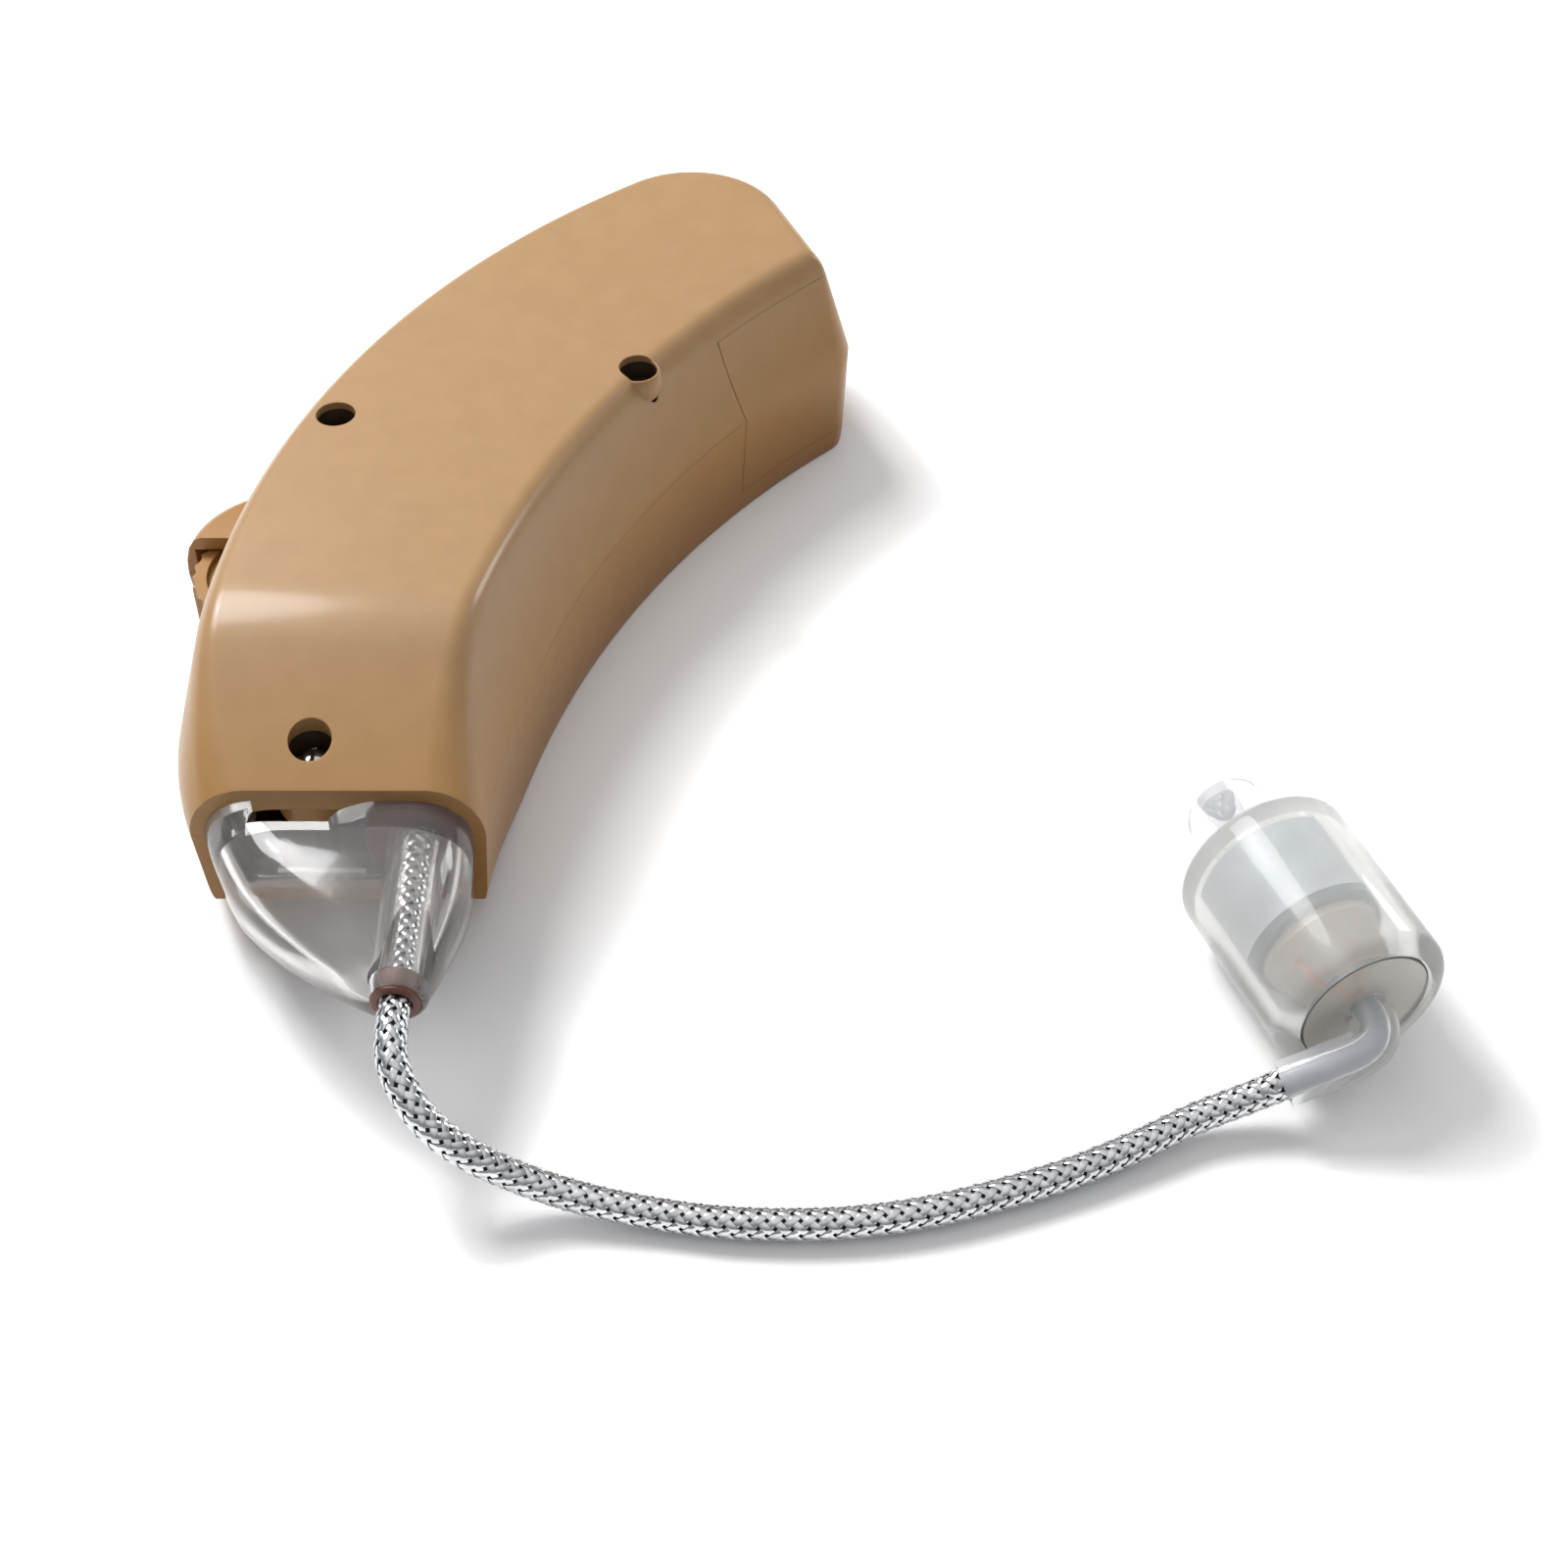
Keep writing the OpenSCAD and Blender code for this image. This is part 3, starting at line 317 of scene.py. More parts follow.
board = finish_surface("green_board", (0.015, 0.10, 0.035), (0.03, 0.16, 0.06), 0.4)
ceramic = finish_surface("ceramic", (0.30, 0.19, 0.09), (0.42, 0.27, 0.14), 0.5)
dark = finish_surface("dark_mould", (0.02, 0.02, 0.022), (0.05, 0.05, 0.052), 0.5, bump=0.2)
magnet = finish_surface("magnet", (0.07, 0.07, 0.08), (0.13, 0.13, 0.14), 0.45, metal=0.7)
film = finish_surface("amber_film", (0.50, 0.36, 0.14), (0.62, 0.46, 0.20), 0.3, Transmission_Weight=0.5)

BY_SLOT = {"case_plastic": beige, "clear_plastic": clear, "milky_plastic": milky, "brown_rubber": brown,
           "rubber": black, "braid": silver, "steel": steel, "cell_steel": nickel, "brass": brass,
           "copper": copper, "board": board, "dark_plastic": dark, "ceramic": ceramic, "magnet": magnet,
           "film": film}
BY_NODE = {"terminal_disc": rosy, "wax_screen": pale}
slot_of = {row["node"]: row["material_slot"] for row in frame["record"]["subparts"]}


def piece(ob, name, body, slot, mat, *nodes):
    """Names a piece, dresses it and lets it stand for CAD nodes."""
    ob.name = name
    ob.data.materials.clear()
    ob.data.materials.append(mat)
    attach(ob, body)
    if nodes:
        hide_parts(*nodes)


def paint(ob, mat, where):
    """Gives a second material to the faces whose middle, in millimetres, passes a test."""
    ob.data.materials.append(mat)
    for f in ob.data.polygons:
        if where(f.center / MM):
            f.material_index = 1


# The case's numbers, as in the part's source; SEAM and SOFT are the scene's own

HALF = 4.8
MID = 4.8
WALL = 0.9
SPINE_R = 37.2
HOLLOW_R = 40.0
TIP_R = 16.0
CASE_HALF = 6.2
END_REACH = 5.4
END_TURN = 23
END_CORNER_R = 5.3
HOLLOW_CORNER_R = 1.5
TOP_DRAW = 2.0
BOTTOM_DRAW = 0.35
TIP_LEN = 6.3
TIP_DROP = 2.6
TIP_RISE = 1.6
SHARP_R = 0.3
SEAM = 0.004
SPINE_TURN, HOLLOW_TURN = -51.7, -43.6
spine_c = heading(SPINE_TURN) * (SPINE_R - CASE_HALF)
hollow_c = heading(HOLLOW_TURN) * (HOLLOW_R + CASE_HALF)
crease_y = spine_c.y
mouth_y = crease_y - TIP_LEN
tip_c = Vector((spine_c.x - SPINE_R + TIP_R, spine_c.y))


def turn_of(v):
    return math.degrees(math.atan2(v.y, v.x))


def corner_c(c, r, reach):
    """Middle of an end corner: at distance r from a long arc's middle c, at a reach along END_TURN."""
    n = heading(END_TURN)
    m = Vector((-n.y, n.x))
    p = n * reach - c
    b = p.dot(m)
    return n * reach + m * (math.sqrt(b * b - p.dot(p) + r * r) - b)


def spine_x(y, d=0.0):
    """Outer side of the tip at a place along it, inset by d; hollow_x is the hollow side."""
    return tip_c.x - math.sqrt((TIP_R - d) ** 2 - (y - tip_c.y) ** 2)


def hollow_x(y, d=0.0):
    return hollow_c.x - math.sqrt((HOLLOW_R + d) ** 2 - (y - hollow_c.y) ** 2)


TIP_N, ARC_N, CORNER_N = 18, 84, 18


def near_mouth(y):
    """0 at the crease and 1 at the mouth, with a smooth start and end."""
    t = min(max((crease_y - y) / TIP_LEN, 0), 1)
    return t * t * (3 - 2 * t)


def outline(d, y_end, fuller=0.0):
    """Plan outline inset by d: the spine from mouth to end, then the hollow side back.

    fuller takes inset away towards the mouth, where the upper edge is fully round.
    """
    r = max(END_CORNER_R - d, SHARP_R)
    k = corner_c(spine_c, SPINE_R - d - r, END_REACH - d - r)
    a = turn_of(k - spine_c)
    pts = [Vector((spine_x(y, d - fuller * near_mouth(y)), y))
           for y in [mix(y_end, crease_y, t) for t in steps(TIP_N)[:-1]]]
    pts += [spine_c + heading(mix(180, a, t)) * (SPINE_R - d) for t in steps(ARC_N)]
    pts += [k + heading(mix(a, END_TURN, t)) * r for t in steps(CORNER_N)[1:]]
    r = max(HOLLOW_CORNER_R - d, SHARP_R)
    k = corner_c(hollow_c, HOLLOW_R + d + r, END_REACH - d - r)
    a = turn_of(k - hollow_c)
    crease = 180 - math.degrees(math.asin((crease_y - hollow_c.y) / (HOLLOW_R + d)))
    pts += [k + heading(mix(END_TURN, a - 180, t)) * r for t in steps(CORNER_N)[:-1]]
    pts += [hollow_c + heading(mix(a, crease, t)) * (HOLLOW_R + d) for t in steps(ARC_N)]
    pts += [Vector((hollow_x(y, d - fuller * near_mouth(y)), y))
            for y in [mix(crease_y, y_end, t) for t in steps(TIP_N)[1:]]]
    return pts


def edge_curve(n):
    """Edge profile: a straight draught, then a rounding; share of the draw and of the half height."""
    pts = [(t / 2, 0.75 * t) for t in (0, 0.25, 0.5, 0.75)]
    for t in steps(n):
        a, b, c = (1 - t) ** 2, 2 * t * (1 - t), t * t
        pts.append((0.5 * a + 2 / 3 * b + c, 0.75 * a + b + c))
    return pts


EDGE = edge_curve(9)
LOWER = [(s * BOTTOM_DRAW, -h) for s, h in EDGE[::-1]]
UPPER = [(s * TOP_DRAW, h) for s, h in EDGE]
LEVELS = LOWER[:-1] + UPPER


def round_off(share):
    """Inset of the upper edge where it is fully round, as at the mouth."""
    return TOP_DRAW * (1 - math.sqrt(1 - min(share, 1) ** 2))


# Half length of the rounding of the crease
SOFT = 1.3


def slope(y):
    """Share of the drop in height that the tip has made at a place along it."""
    t = crease_y - y
    if t < -SOFT:
        return 0.0
    if t < SOFT:
        t = (t + SOFT) ** 2 / (4 * SOFT)
    return t / TIP_LEN


def case_z(y, share, d=0.0):
    return MID + share * (HALF - d) - (TIP_DROP if share > 0 else TIP_RISE) * slope(y) * share


def case_form(d=0.0, y_end=None, levels=None, lift=0.0):
    """Closed solid of the case inset by d; lift raises the ring at the parting line."""
    y_end = mouth_y if y_end is None else y_end
    rings = []
    for inset, share in (levels or LEVELS):
        fuller = inset - round_off(share) if share > 0 else 0.0
        rings.append([(p.x, p.y, case_z(p.y, share, d) + (lift if share == 0 else 0))
                      for p in outline(d + inset, y_end, fuller)])
    return loft("case_form", rings, strips=True)


# Places of the pieces

WHEEL_D, WHEEL_H = 6.6, 2.0
WHEEL_STAND = 1.4
WHEEL_TURN = 169.2
SLOT_GAP = 0.15
SWEEP_GAP = 0.05
GUARD_WALL = 0.55
GUARD_LOW_TURN, GUARD_HIGH_TURN = 168.3, 163
wheel_reach = SPINE_R + WHEEL_STAND - WHEEL_D / 2
wheel_at = spine_c + heading(WHEEL_TURN) * wheel_reach
RECESS_R = 0.75
RECESS_DEPTH = 2.1
RIM_R = 0.89
# A recess's wall is in the dark below PIT_DEPTH; its rings lie at these depths
PIT_DEPTH = 0.32
RING_DEPTHS = (1.6, 1.1, PIT_DEPTH, 0.3)
# The screws' bosses stop short of the outer surface by BOSS_INSET
BOSS_R = 1.45
BOSS_TOP = 9.2
BOSS_INSET = 0.4
DOOR_GAP = 0.1
# Screws by the wheel, by the battery door and at the tip, by their turn and their depth in the case
SPINE_SCREW_TURN, HOLLOW_SCREW_TURN = 160.8, 148.2
SPINE_SCREW_IN, HOLLOW_SCREW_IN, TIP_SCREW_IN = 2.7, 1.7, 4.6
tip_screw_y = mouth_y + BOSS_R + 3 * DOOR_GAP
screws = [spine_c + heading(SPINE_SCREW_TURN) * (SPINE_R - SPINE_SCREW_IN),
          hollow_c + heading(HOLLOW_SCREW_TURN) * (HOLLOW_R + HOLLOW_SCREW_IN),
          Vector((spine_x(tip_screw_y, TIP_SCREW_IN), tip_screw_y))]
FLANK, PIN_DEPTH = 1.9, 1.75
LINE_TURN = 141.4
pin_at = hollow_c + heading(LINE_TURN - math.degrees(FLANK / HOLLOW_R)) * (HOLLOW_R + PIN_DEPTH)
sweep_r = math.hypot(FLANK, PIN_DEPTH) + DOOR_GAP
DOOR_TOP, DOOR_BOTTOM = 8.5, 1.1
DOOR_EDGE_TURN = 99
LEAD_INSET = 2.3
NOZZLE_LEN = 7.4
lead_x = hollow_x(mouth_y, LEAD_INSET)
nozzle_end_y = mouth_y - NOZZLE_LEN


def door_plan(g):
    """Plan of the battery end that swings, seen from the pin, grown by a gap."""
    reach = 2 * SPINE_R
    edge, line = DOOR_EDGE_TURN, LINE_TURN - 180
    rear = heading(line - 90) * (FLANK + g)
    side = heading(edge + 90) * g
    fan = [heading(mix(edge, line, t)) * reach for t in steps(3)]
    return [pin_at + v for v in (side, fan[0] + side, fan[1], fan[2], fan[3] + rear, rear)]


def at3(p, z=0.0):
    return (p.x, p.y, z)


def guard_form():
    """Guard over the wheel: the hull of two lens-shaped discs."""
    edge = GUARD_WALL + SLOT_GAP
    bm = bmesh.new()
    discs = ((GUARD_LOW_TURN, wheel_reach - SLOT_GAP, WHEEL_D / 2 + edge, WHEEL_H + 2 * edge),
             (GUARD_HIGH_TURN, SPINE_R - WHEEL_D / 2 - SLOT_GAP, WHEEL_D / 3, WHEEL_H + 2 * GUARD_WALL))
    for turn, reach, r, h in discs:
        c = spine_c + heading(turn) * reach
        for k in range(72):
            a = 2 * math.pi * k / 72
            for t in steps(8):
                out = r - edge + edge * math.sin(math.pi * t)
                z = MID - math.cos(math.pi * t) * h / 2
                bm.verts.new(((c.x + out * math.cos(a)) * MM, (c.y + out * math.sin(a)) * MM, z * MM))
    bmesh.ops.convex_hull(bm, input=bm.verts)
    bmesh.ops.delete(bm, geom=[v for v in bm.verts if not v.link_faces], context="VERTS")
    me = bpy.data.meshes.new("guard")
    bm.to_mesh(me)
    bm.free()
    ob = bpy.data.objects.new("guard", me)
    collection.objects.link(ob)
    cut_y = wheel_at.y + WHEEL_D / 6
    cut = block((wheel_at.x - 9, cut_y - 12, -1), (wheel_at.x + 4, cut_y, 11))
    return boolean(ob, cut)


def openings(ob, gap):
    """Cuts the door's room, the hinge's sweep and the wheel's slot."""
    boolean(ob, prism(door_plan(gap), DOOR_BOTTOM - gap, DOOR_TOP + gap))
    boolean(ob, rod(at3(pin_at), sweep_r, DOOR_BOTTOM - gap, DOOR_TOP + gap, sides=96))
    return boolean(ob, rod(at3(wheel_at), WHEEL_D / 2 + SLOT_GAP, MID - WHEEL_H / 2 - SLOT_GAP,
                           MID + WHEEL_H / 2 + SLOT_GAP, sides=96))


CRIMP_SEAT_R, CRIMP_SEAT_LEN = 0.87, 2.3


def crimp_seat():
    return rod((lead_x, mouth_y, MID), CRIMP_SEAT_R, -0.5, CRIMP_SEAT_LEN, axis=(0, 1, 0))


# Case shells

SKIN_GAP = 0.012
SHANK_HOLE_R = 0.42
RECESS_FOOT = 0.6
inner = case_form(WALL, mouth_y - 0.5)
guard = guard_form()
guard_low = guard.copy()
guard_low.data = guard.data.copy()
collection.objects.link(guard_low)

upper = case_form(levels=UPPER, lift=SEAM)
common(guard, block((-40, -60, MID + SEAM), (0, 10, 20)))
union(upper, guard)
boolean(upper, inner, keep=True)
for p in screws:
    boss = rod(at3(p), BOSS_R, MID + 0.05, BOSS_TOP)
    common(boss, case_form(BOSS_INSET))
    union(upper, boss)
openings(upper, SKIN_GAP)
# A thin rim closes the recess that the flank would open
RIM_FOOT_R, RIM_FOOT_Z, RIM_WALL_Z = 0.4, 7.5, 8.7
front_top = case_z(screws[1].y, 1)
rim_profile = [(RIM_FOOT_R, RIM_FOOT_Z), (RIM_R, RIM_WALL_Z), (RIM_R, front_top - 0.3),
               (RIM_R - 0.08, front_top - 0.17)]
rim = turned("rim", rim_profile, at3(screws[1]))
union(upper, rim)
for p in screws:
    top = case_z(p.y, 1)
    levels = [top - RECESS_DEPTH - RECESS_FOOT] + [top - z for z in RING_DEPTHS] + [12]
    boolean(upper, turned("recess", [(RECESS_R, z) for z in levels], at3(p), sides=64))
    boolean(upper, rod(at3(p), SHANK_HOLE_R, 0, 12))
boolean(upper, crimp_seat())
piece(upper, "upper_skin", "case", "case_plastic", beige, "upper_shell")


def in_pit(at):
    """Whether a point lies in a screw's recess, below the part that the light reaches."""
    return any((at.xy - p).length < RECESS_R + 0.01 and at.z < case_z(p.y, 1) - PIT_DEPTH + 0.05
               for p in screws)


paint(upper, pit, in_pit)

lower = case_form(levels=LOWER, lift=-SEAM)
common(guard_low, block((-40, -60, -1), (0, 10, MID - SEAM)))
union(lower, guard_low)
boolean(lower, inner, keep=True)
openings(lower, SKIN_GAP)
boolean(lower, crimp_seat())
piece(lower, "lower_skin", "case", "case_plastic", beige, "lower_shell")

# Screws with domed, crossed heads; radius and height from the top of the head
HEAD_DEPTH = 0.7
HEAD_PROFILE = [(0.37, -4.8), (0.37, -0.75), (0.66, -0.7), (0.67, -0.5), (0.6, -0.27), (0.45, -0.12),
                (0.25, -0.03), (0.02, 0)]
CROSS_LEN, CROSS_HALF, CROSS_DEPTH = 0.6, 0.08, 0.3
heads = []
for i, p in enumerate(screws):
    top = case_z(p.y, 1) - HEAD_DEPTH
    head = turned("head", [(r, top + z) for r, z in HEAD_PROFILE], at3(p), sides=48)
    turn = 20 + 35 * i
    for a in (turn, turn + 90):
        slot = block((-CROSS_LEN, -CROSS_HALF, top - CROSS_DEPTH), (CROSS_LEN, CROSS_HALF, top + 0.2), a)
        slot.data.transform(Matrix.Translation(Vector(at3(p)) * MM))
        boolean(head, slot)
    heads.append(head)
screw_set = union(union(heads[0], heads[1]), heads[2])
piece(screw_set, "screw_set", "case", "brass", chrome, "case_screws")

# Battery door: skin, knuckle round the pin, and the cup that holds the cell
INNER_TURN = 223
POCKET_R = 4.05
POCKET_REACH, POCKET_HALF = 8.1, 2.63
CUP_WALL, CUP_FLOOR, CUP_TOP = 0.45, 0.6, 1.35
CELL_Z = 2.1
KNUCKLE_R, PIN_HOLE_R = 1.0, 0.39
door = case_form()
boolean(door, inner, keep=True)
zone = prism(door_plan(0.0), DOOR_BOTTOM, DOOR_TOP)
union(zone, rod(at3(pin_at), sweep_r - SWEEP_GAP, DOOR_BOTTOM, DOOR_TOP, sides=96))
common(door, zone)
knuckle = rod(at3(pin_at), KNUCKLE_R, DOOR_BOTTOM, DOOR_TOP)
common(knuckle, case_form())
union(door, knuckle)
union(door, rod((0, 0, 0), POCKET_R + CUP_WALL, CELL_Z - CUP_FLOOR, MID + CUP_TOP, sides=96))
boolean(door, rod((0, 0, 0), POCKET_R, CELL_Z - FIT, 11, sides=96))
boolean(door, block((0, -POCKET_HALF, CELL_Z - FIT), (POCKET_REACH, POCKET_HALF, 11), INNER_TURN))
boolean(door, rod(at3(pin_at), PIN_HOLE_R, 0, 11))
piece(door, "door_skin", "door", "case_plastic", beige, "battery_door")
drop(inner)

# Clear nozzle, its bush and seal; MOUTH_STEP, BUSH_LEN and the seal's front are the scene's own

STEP = 0.2
MOUTH_STEP = 0.42
NOZZLE_WALL = 0.6
END_R = 1.0
SKIRT_LEN = 0.7
BORE_R = 0.6
BUSH_R = 0.82
BUSH_LEN = 0.9
BUSH_OUT = 0.15
SEAL_R, SEAL_OUT = 1.8, 0.4
SEAL_BACK = -0.66
SEAL_INSET = 0.5
SOFT_EDGE = 0.06
CRIMP_LEN = 1.5
SLEEVE_ROOT_R, SLEEVE_END_R = 1.05, 0.9
SLEEVE_FOOT, SLEEVE_LEN = 0.6, 6.4
INLET_W, INLET_DEPTH, INLET_INSET = 2.8, 1.1, 3.5
SHOULDER_W = 2.3
NOTCH_PAST = 1.4
# Share of the length over which MOUTH_STEP eases to STEP, and how slowly the section turns round
EASE_SHARE = 0.35
ROUNDING = 1.5
bush_y0 = nozzle_end_y + BUSH_LEN - BUSH_OUT
bush_y1 = nozzle_end_y - BUSH_OUT
crimp_y0 = mouth_y + SKIRT_LEN + FIT + CRIMP_LEN
skirt_inset = WALL + FIT - MOUTH_STEP


def nozzle_ring(s, d):
    """Section of the nozzle at a share s of its length, inset by d."""
    y = mouth_y - s * NOZZLE_LEN
    p = max(s, 0) ** 2
    step = mix(MOUTH_STEP, STEP, min(max(s, 0) / EASE_SHARE, 1))
    x0 = spine_x(y, step + d) if s < 1 else lead_x - END_R + d
    x1 = mix(hollow_x(mouth_y - min(s, 0) * NOZZLE_LEN, step + d), lead_x + END_R - d, p)
    w = x1 - x0
    n = len(LEVELS)
    ring = []
    for side in (-1, 1):
        for i in range(n):
            inset, share = LEVELS[i if side < 0 else n - 1 - i]
            inset = round_off(share) if share > 0 else inset
            a = deg(180 - side * 90 - (i + 0.5) / n * 180)
            ux = mix(side * (1 - 2 * inset / w), math.cos(a), max(s, 0) ** ROUNDING)
            uz = mix(share, math.sin(a), max(s, 0) ** ROUNDING)
            drop_z = (TIP_DROP if uz > 0 else TIP_RISE) * (1 + min(s, 0) * NOZZLE_LEN / TIP_LEN)
            ring.append(((x0 + x1 + ux * w) / 2, y, MID + uz * (mix(HALF - drop_z - step, END_R, p) - d)))
    return ring


# Rings of the nozzle and its cavity, each with its share of the length and its inset
skirt_share = -SKIRT_LEN / NOZZLE_LEN
outer_rings = [(skirt_share, skirt_inset + 0.08), (skirt_share * 0.9, skirt_inset), (0, skirt_inset),
               (0, 0.06)]
outer_rings += [(s, 0) for s in [0.01] + [k / 20 for k in range(1, 19)] + [0.93, 0.96, 0.98]]
outer_rings += [(0.992, 0.03), (1, 0.12)]
cavity_rings = [(2 * skirt_share, skirt_inset + NOZZLE_WALL), (0.05, skirt_inset + NOZZLE_WALL),
                (0.09, NOZZLE_WALL + 0.25)]
cavity_rings += [(s, NOZZLE_WALL) for s in [k / 100 for k in range(13, 70, 7)] + [0.75, 0.8, 0.84]]
cavity_rings += [(0.86, NOZZLE_WALL + 0.15)]
nozzle = loft("nozzle_skin", [nozzle_ring(s, d) for s, d in outer_rings])
boolean(nozzle, loft("cavity", [nozzle_ring(s, d) for s, d in cavity_rings]))
down = (0, -1, 0)
sleeve_profile = [(SLEEVE_ROOT_R, 0), (SLEEVE_ROOT_R, SLEEVE_FOOT), (SLEEVE_END_R, SLEEVE_LEN)]
union(nozzle, turned("sleeve", sleeve_profile, (lead_x, mouth_y - FIT, MID), down))
boolean(nozzle, rod((lead_x, mouth_y + 0.5, MID), BORE_R, 0, NOZZLE_LEN + 1, down))
boolean(nozzle, rod((lead_x, bush_y0, MID), BUSH_R + FIT, 0, BUSH_LEN + 0.5, down))
boss_x = screws[2].x
boolean(nozzle, block((boss_x - BOSS_R - DOOR_GAP, mouth_y + DOOR_GAP, 0),
                      (boss_x + BOSS_R + DOOR_GAP, mouth_y + 1.5, CASE_TOP)))
inlet_x = spine_x(mouth_y, INLET_INSET - INLET_W / 2)
notch = block((inlet_x, mouth_y - INLET_DEPTH, MID + NOZZLE_WALL),
              (inlet_x + INLET_W + NOTCH_PAST, mouth_y + NOTCH_PAST, CASE_TOP))
shoulder = rod((0, 0, 0), 1, 0, 12, sides=96)
shoulder.data.transform(Matrix.Diagonal((SHOULDER_W, INLET_DEPTH, 1, 1)))
shoulder_at = Vector((inlet_x + INLET_W + SHOULDER_W, mouth_y - INLET_DEPTH, 0))
shoulder.data.transform(Matrix.Translation(shoulder_at * MM))
boolean(notch, shoulder)
boolean(nozzle, notch)
seal_profile = [(BORE_R, SEAL_BACK), (SEAL_R, SEAL_BACK), (SEAL_R, SEAL_OUT - SOFT_EDGE),
                (SEAL_R - SOFT_EDGE, SEAL_OUT), (BORE_R, SEAL_OUT)]
seal = turned("seal_skin", seal_profile, (lead_x, mouth_y, MID), down, ring=True)
clip_shares = (2 * skirt_share, skirt_share, 0, 0.1, 0.3)
common(seal, loft("clip", [nozzle_ring(s, SEAL_INSET) for s in clip_shares]))
boss = rod(at3(screws[2]), BOSS_R + DOOR_GAP, 0, CASE_TOP)
boolean(seal, boss)
piece(nozzle, "nozzle_skin", "case", "clear_plastic", clear, "nozzle")
piece(seal, "seal_skin", "case", "brown_rubber", red_brown, "nozzle_seal")

bush_profile = [(BORE_R - FIT, 0), (BUSH_R, 0), (BUSH_R, BUSH_LEN - FIT - SOFT_EDGE),
                (BUSH_R - SOFT_EDGE, BUSH_LEN - FIT), (BORE_R - FIT, BUSH_LEN - FIT)]
bush = turned("bush_skin", bush_profile, (lead_x, bush_y0 - FIT, MID), down, sides=64, ring=True)
piece(bush, "bush_skin", "case", "brown_rubber", brown, "lead_bush")


# Braided lead

def spread(points, step=0.12):
    """Points along a smooth line through the given ones, evenly close."""
    p = [Vector(q) for q in points]
    p = [2 * p[0] - p[1]] + p + [2 * p[-1] - p[-2]]
    out = []
    for i in range(1, len(p) - 2):
        a, b, c, d = p[i - 1:i + 3]
        n = max(2, round((c - b).length / step))
        for k in range(n):
            t = k / n
            out.append(0.5 * (2 * b + (c - a) * t + (2 * a - 5 * b + 4 * c - d) * t * t
                              + (3 * b - a - 3 * c + d) * t ** 3))
    return out + [p[-2]]


def frames(path):
    """Lengths and turning-free cross directions along a path."""
    n = len(path)
    along = [(path[min(i + 1, n - 1)] - path[max(i - 1, 0)]).normalized() for i in range(n)]
    u = along[0].orthogonal().normalized()
    rows, length = [], 0.0
    for i in range(n):
        if i:
            length += (path[i] - path[i - 1]).length
            u = along[i - 1].rotation_difference(along[i]) @ u
        u = (u - along[i] * u.dot(along[i])).normalized()
        rows.append((path[i], along[i], u, along[i].cross(u), length))
    return rows


def tube(name, path, r_out, r_in=0.0, sides=40):
    """Round tube or rod along a path."""
    rows = frames(path)
    turns = [2 * math.pi * k / sides for k in range(sides)]
    rings = [[c + (u * math.cos(a) + v * math.sin(a)) * r for c, _, u, v, _ in rows for a in turns]
             for r in ((r_out, r_in) if r_in else (r_out,))]
    n = len(rows)
    faces = [(i * sides + k, i * sides + (k + 1) % sides,
              (i + 1) * sides + (k + 1) % sides, (i + 1) * sides + k)
             for i in range(n - 1) for k in range(sides)]
    verts = rings[0]
    if r_in:
        m = n * sides
        faces += [tuple(m + j for j in f[::-1]) for f in faces]
        verts = rings[0] + rings[1]
        for base in (0, (n - 1) * sides):
            faces += [(base + k, base + (k + 1) % sides, m + base + (k + 1) % sides, m + base + k)
                      for k in range(sides)]
    else:
        faces += [tuple(range(sides - 1, -1, -1)), tuple((n - 1) * sides + k for k in range(sides))]
    return add_mesh(name, verts, faces)


STRANDS, PITCH = 6, 3.2
# Radius at which the strands lie and that of the dark core under them
STRAND_R, CORE_R = 0.485, 0.41
# How far a strand weaves out and in, and its section, across and out from its middle
WEAVE = 0.04
STRAND = ((-0.12, -0.012), (-0.12, 0.006), (-0.06, 0.03), (0.06, 0.03), (0.12, 0.006),
          (0.12, -0.012), (0, -0.025))


def braid(name, path):
    """Flat strands that cross over and under one another round a dark core."""
    rows = frames(path)
    m = len(STRAND)
    verts, faces = [], []
    for way in (1, -1):
        slant = math.atan(2 * math.pi * STRAND_R / PITCH)
        for k in range(STRANDS):
            base = len(verts)
            for c, along, u, v, length in rows:
                a = way * 2 * math.pi * length / PITCH + 2 * math.pi * k / STRANDS
                out = u * math.cos(a) + v * math.sin(a)
                turn = (v * math.cos(a) - u * math.sin(a)) * way
                side = turn * math.cos(slant) - along * math.sin(slant)
                r = STRAND_R + WEAVE * way * math.cos(math.pi * 2 * STRANDS * length / PITCH)
                for w, h in STRAND:
                    verts.append(c + out * (r + h) + side * w)
            for i in range(len(rows) - 1):
                for j in range(m):
                    a, b = base + m * i + j, base + m * i + (j + 1) % m
                    faces.append((a, b, b + m, a + m))
            last = base + m * (len(rows) - 1)
            faces += [tuple(base + j for j in range(m - 1, -1, -1)), tuple(last + j for j in range(m))]
    flat = len(faces)
    base, sides = len(verts), 16
    for c, _, u, v, _ in rows:
        verts += [c + (u * math.cos(a) + v * math.sin(a)) * CORE_R
                  for a in [2 * math.pi * k / sides for k in range(sides)]]
    faces += [(base + i * sides + k, base + i * sides + (k + 1) % sides,
               base + (i + 1) * sides + (k + 1) % sides, base + (i + 1) * sides + k)
              for i in range(len(rows) - 1) for k in range(sides)]
    last = base + (len(rows) - 1) * sides
    faces += [tuple(base + k for k in range(sides - 1, -1, -1)), tuple(last + k for k in range(sides))]
    ob = add_mesh(name, verts, faces)
    ob.data.materials.append(silver)
    ob.data.materials.append(core)
    for f in ob.data.polygons[flat:]:
        f.material_index = 1
    return ob


def braided(name, path, body, *nodes):
    ob = braid(name, path)
    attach(ob, body)
    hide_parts(*nodes)
    return ob


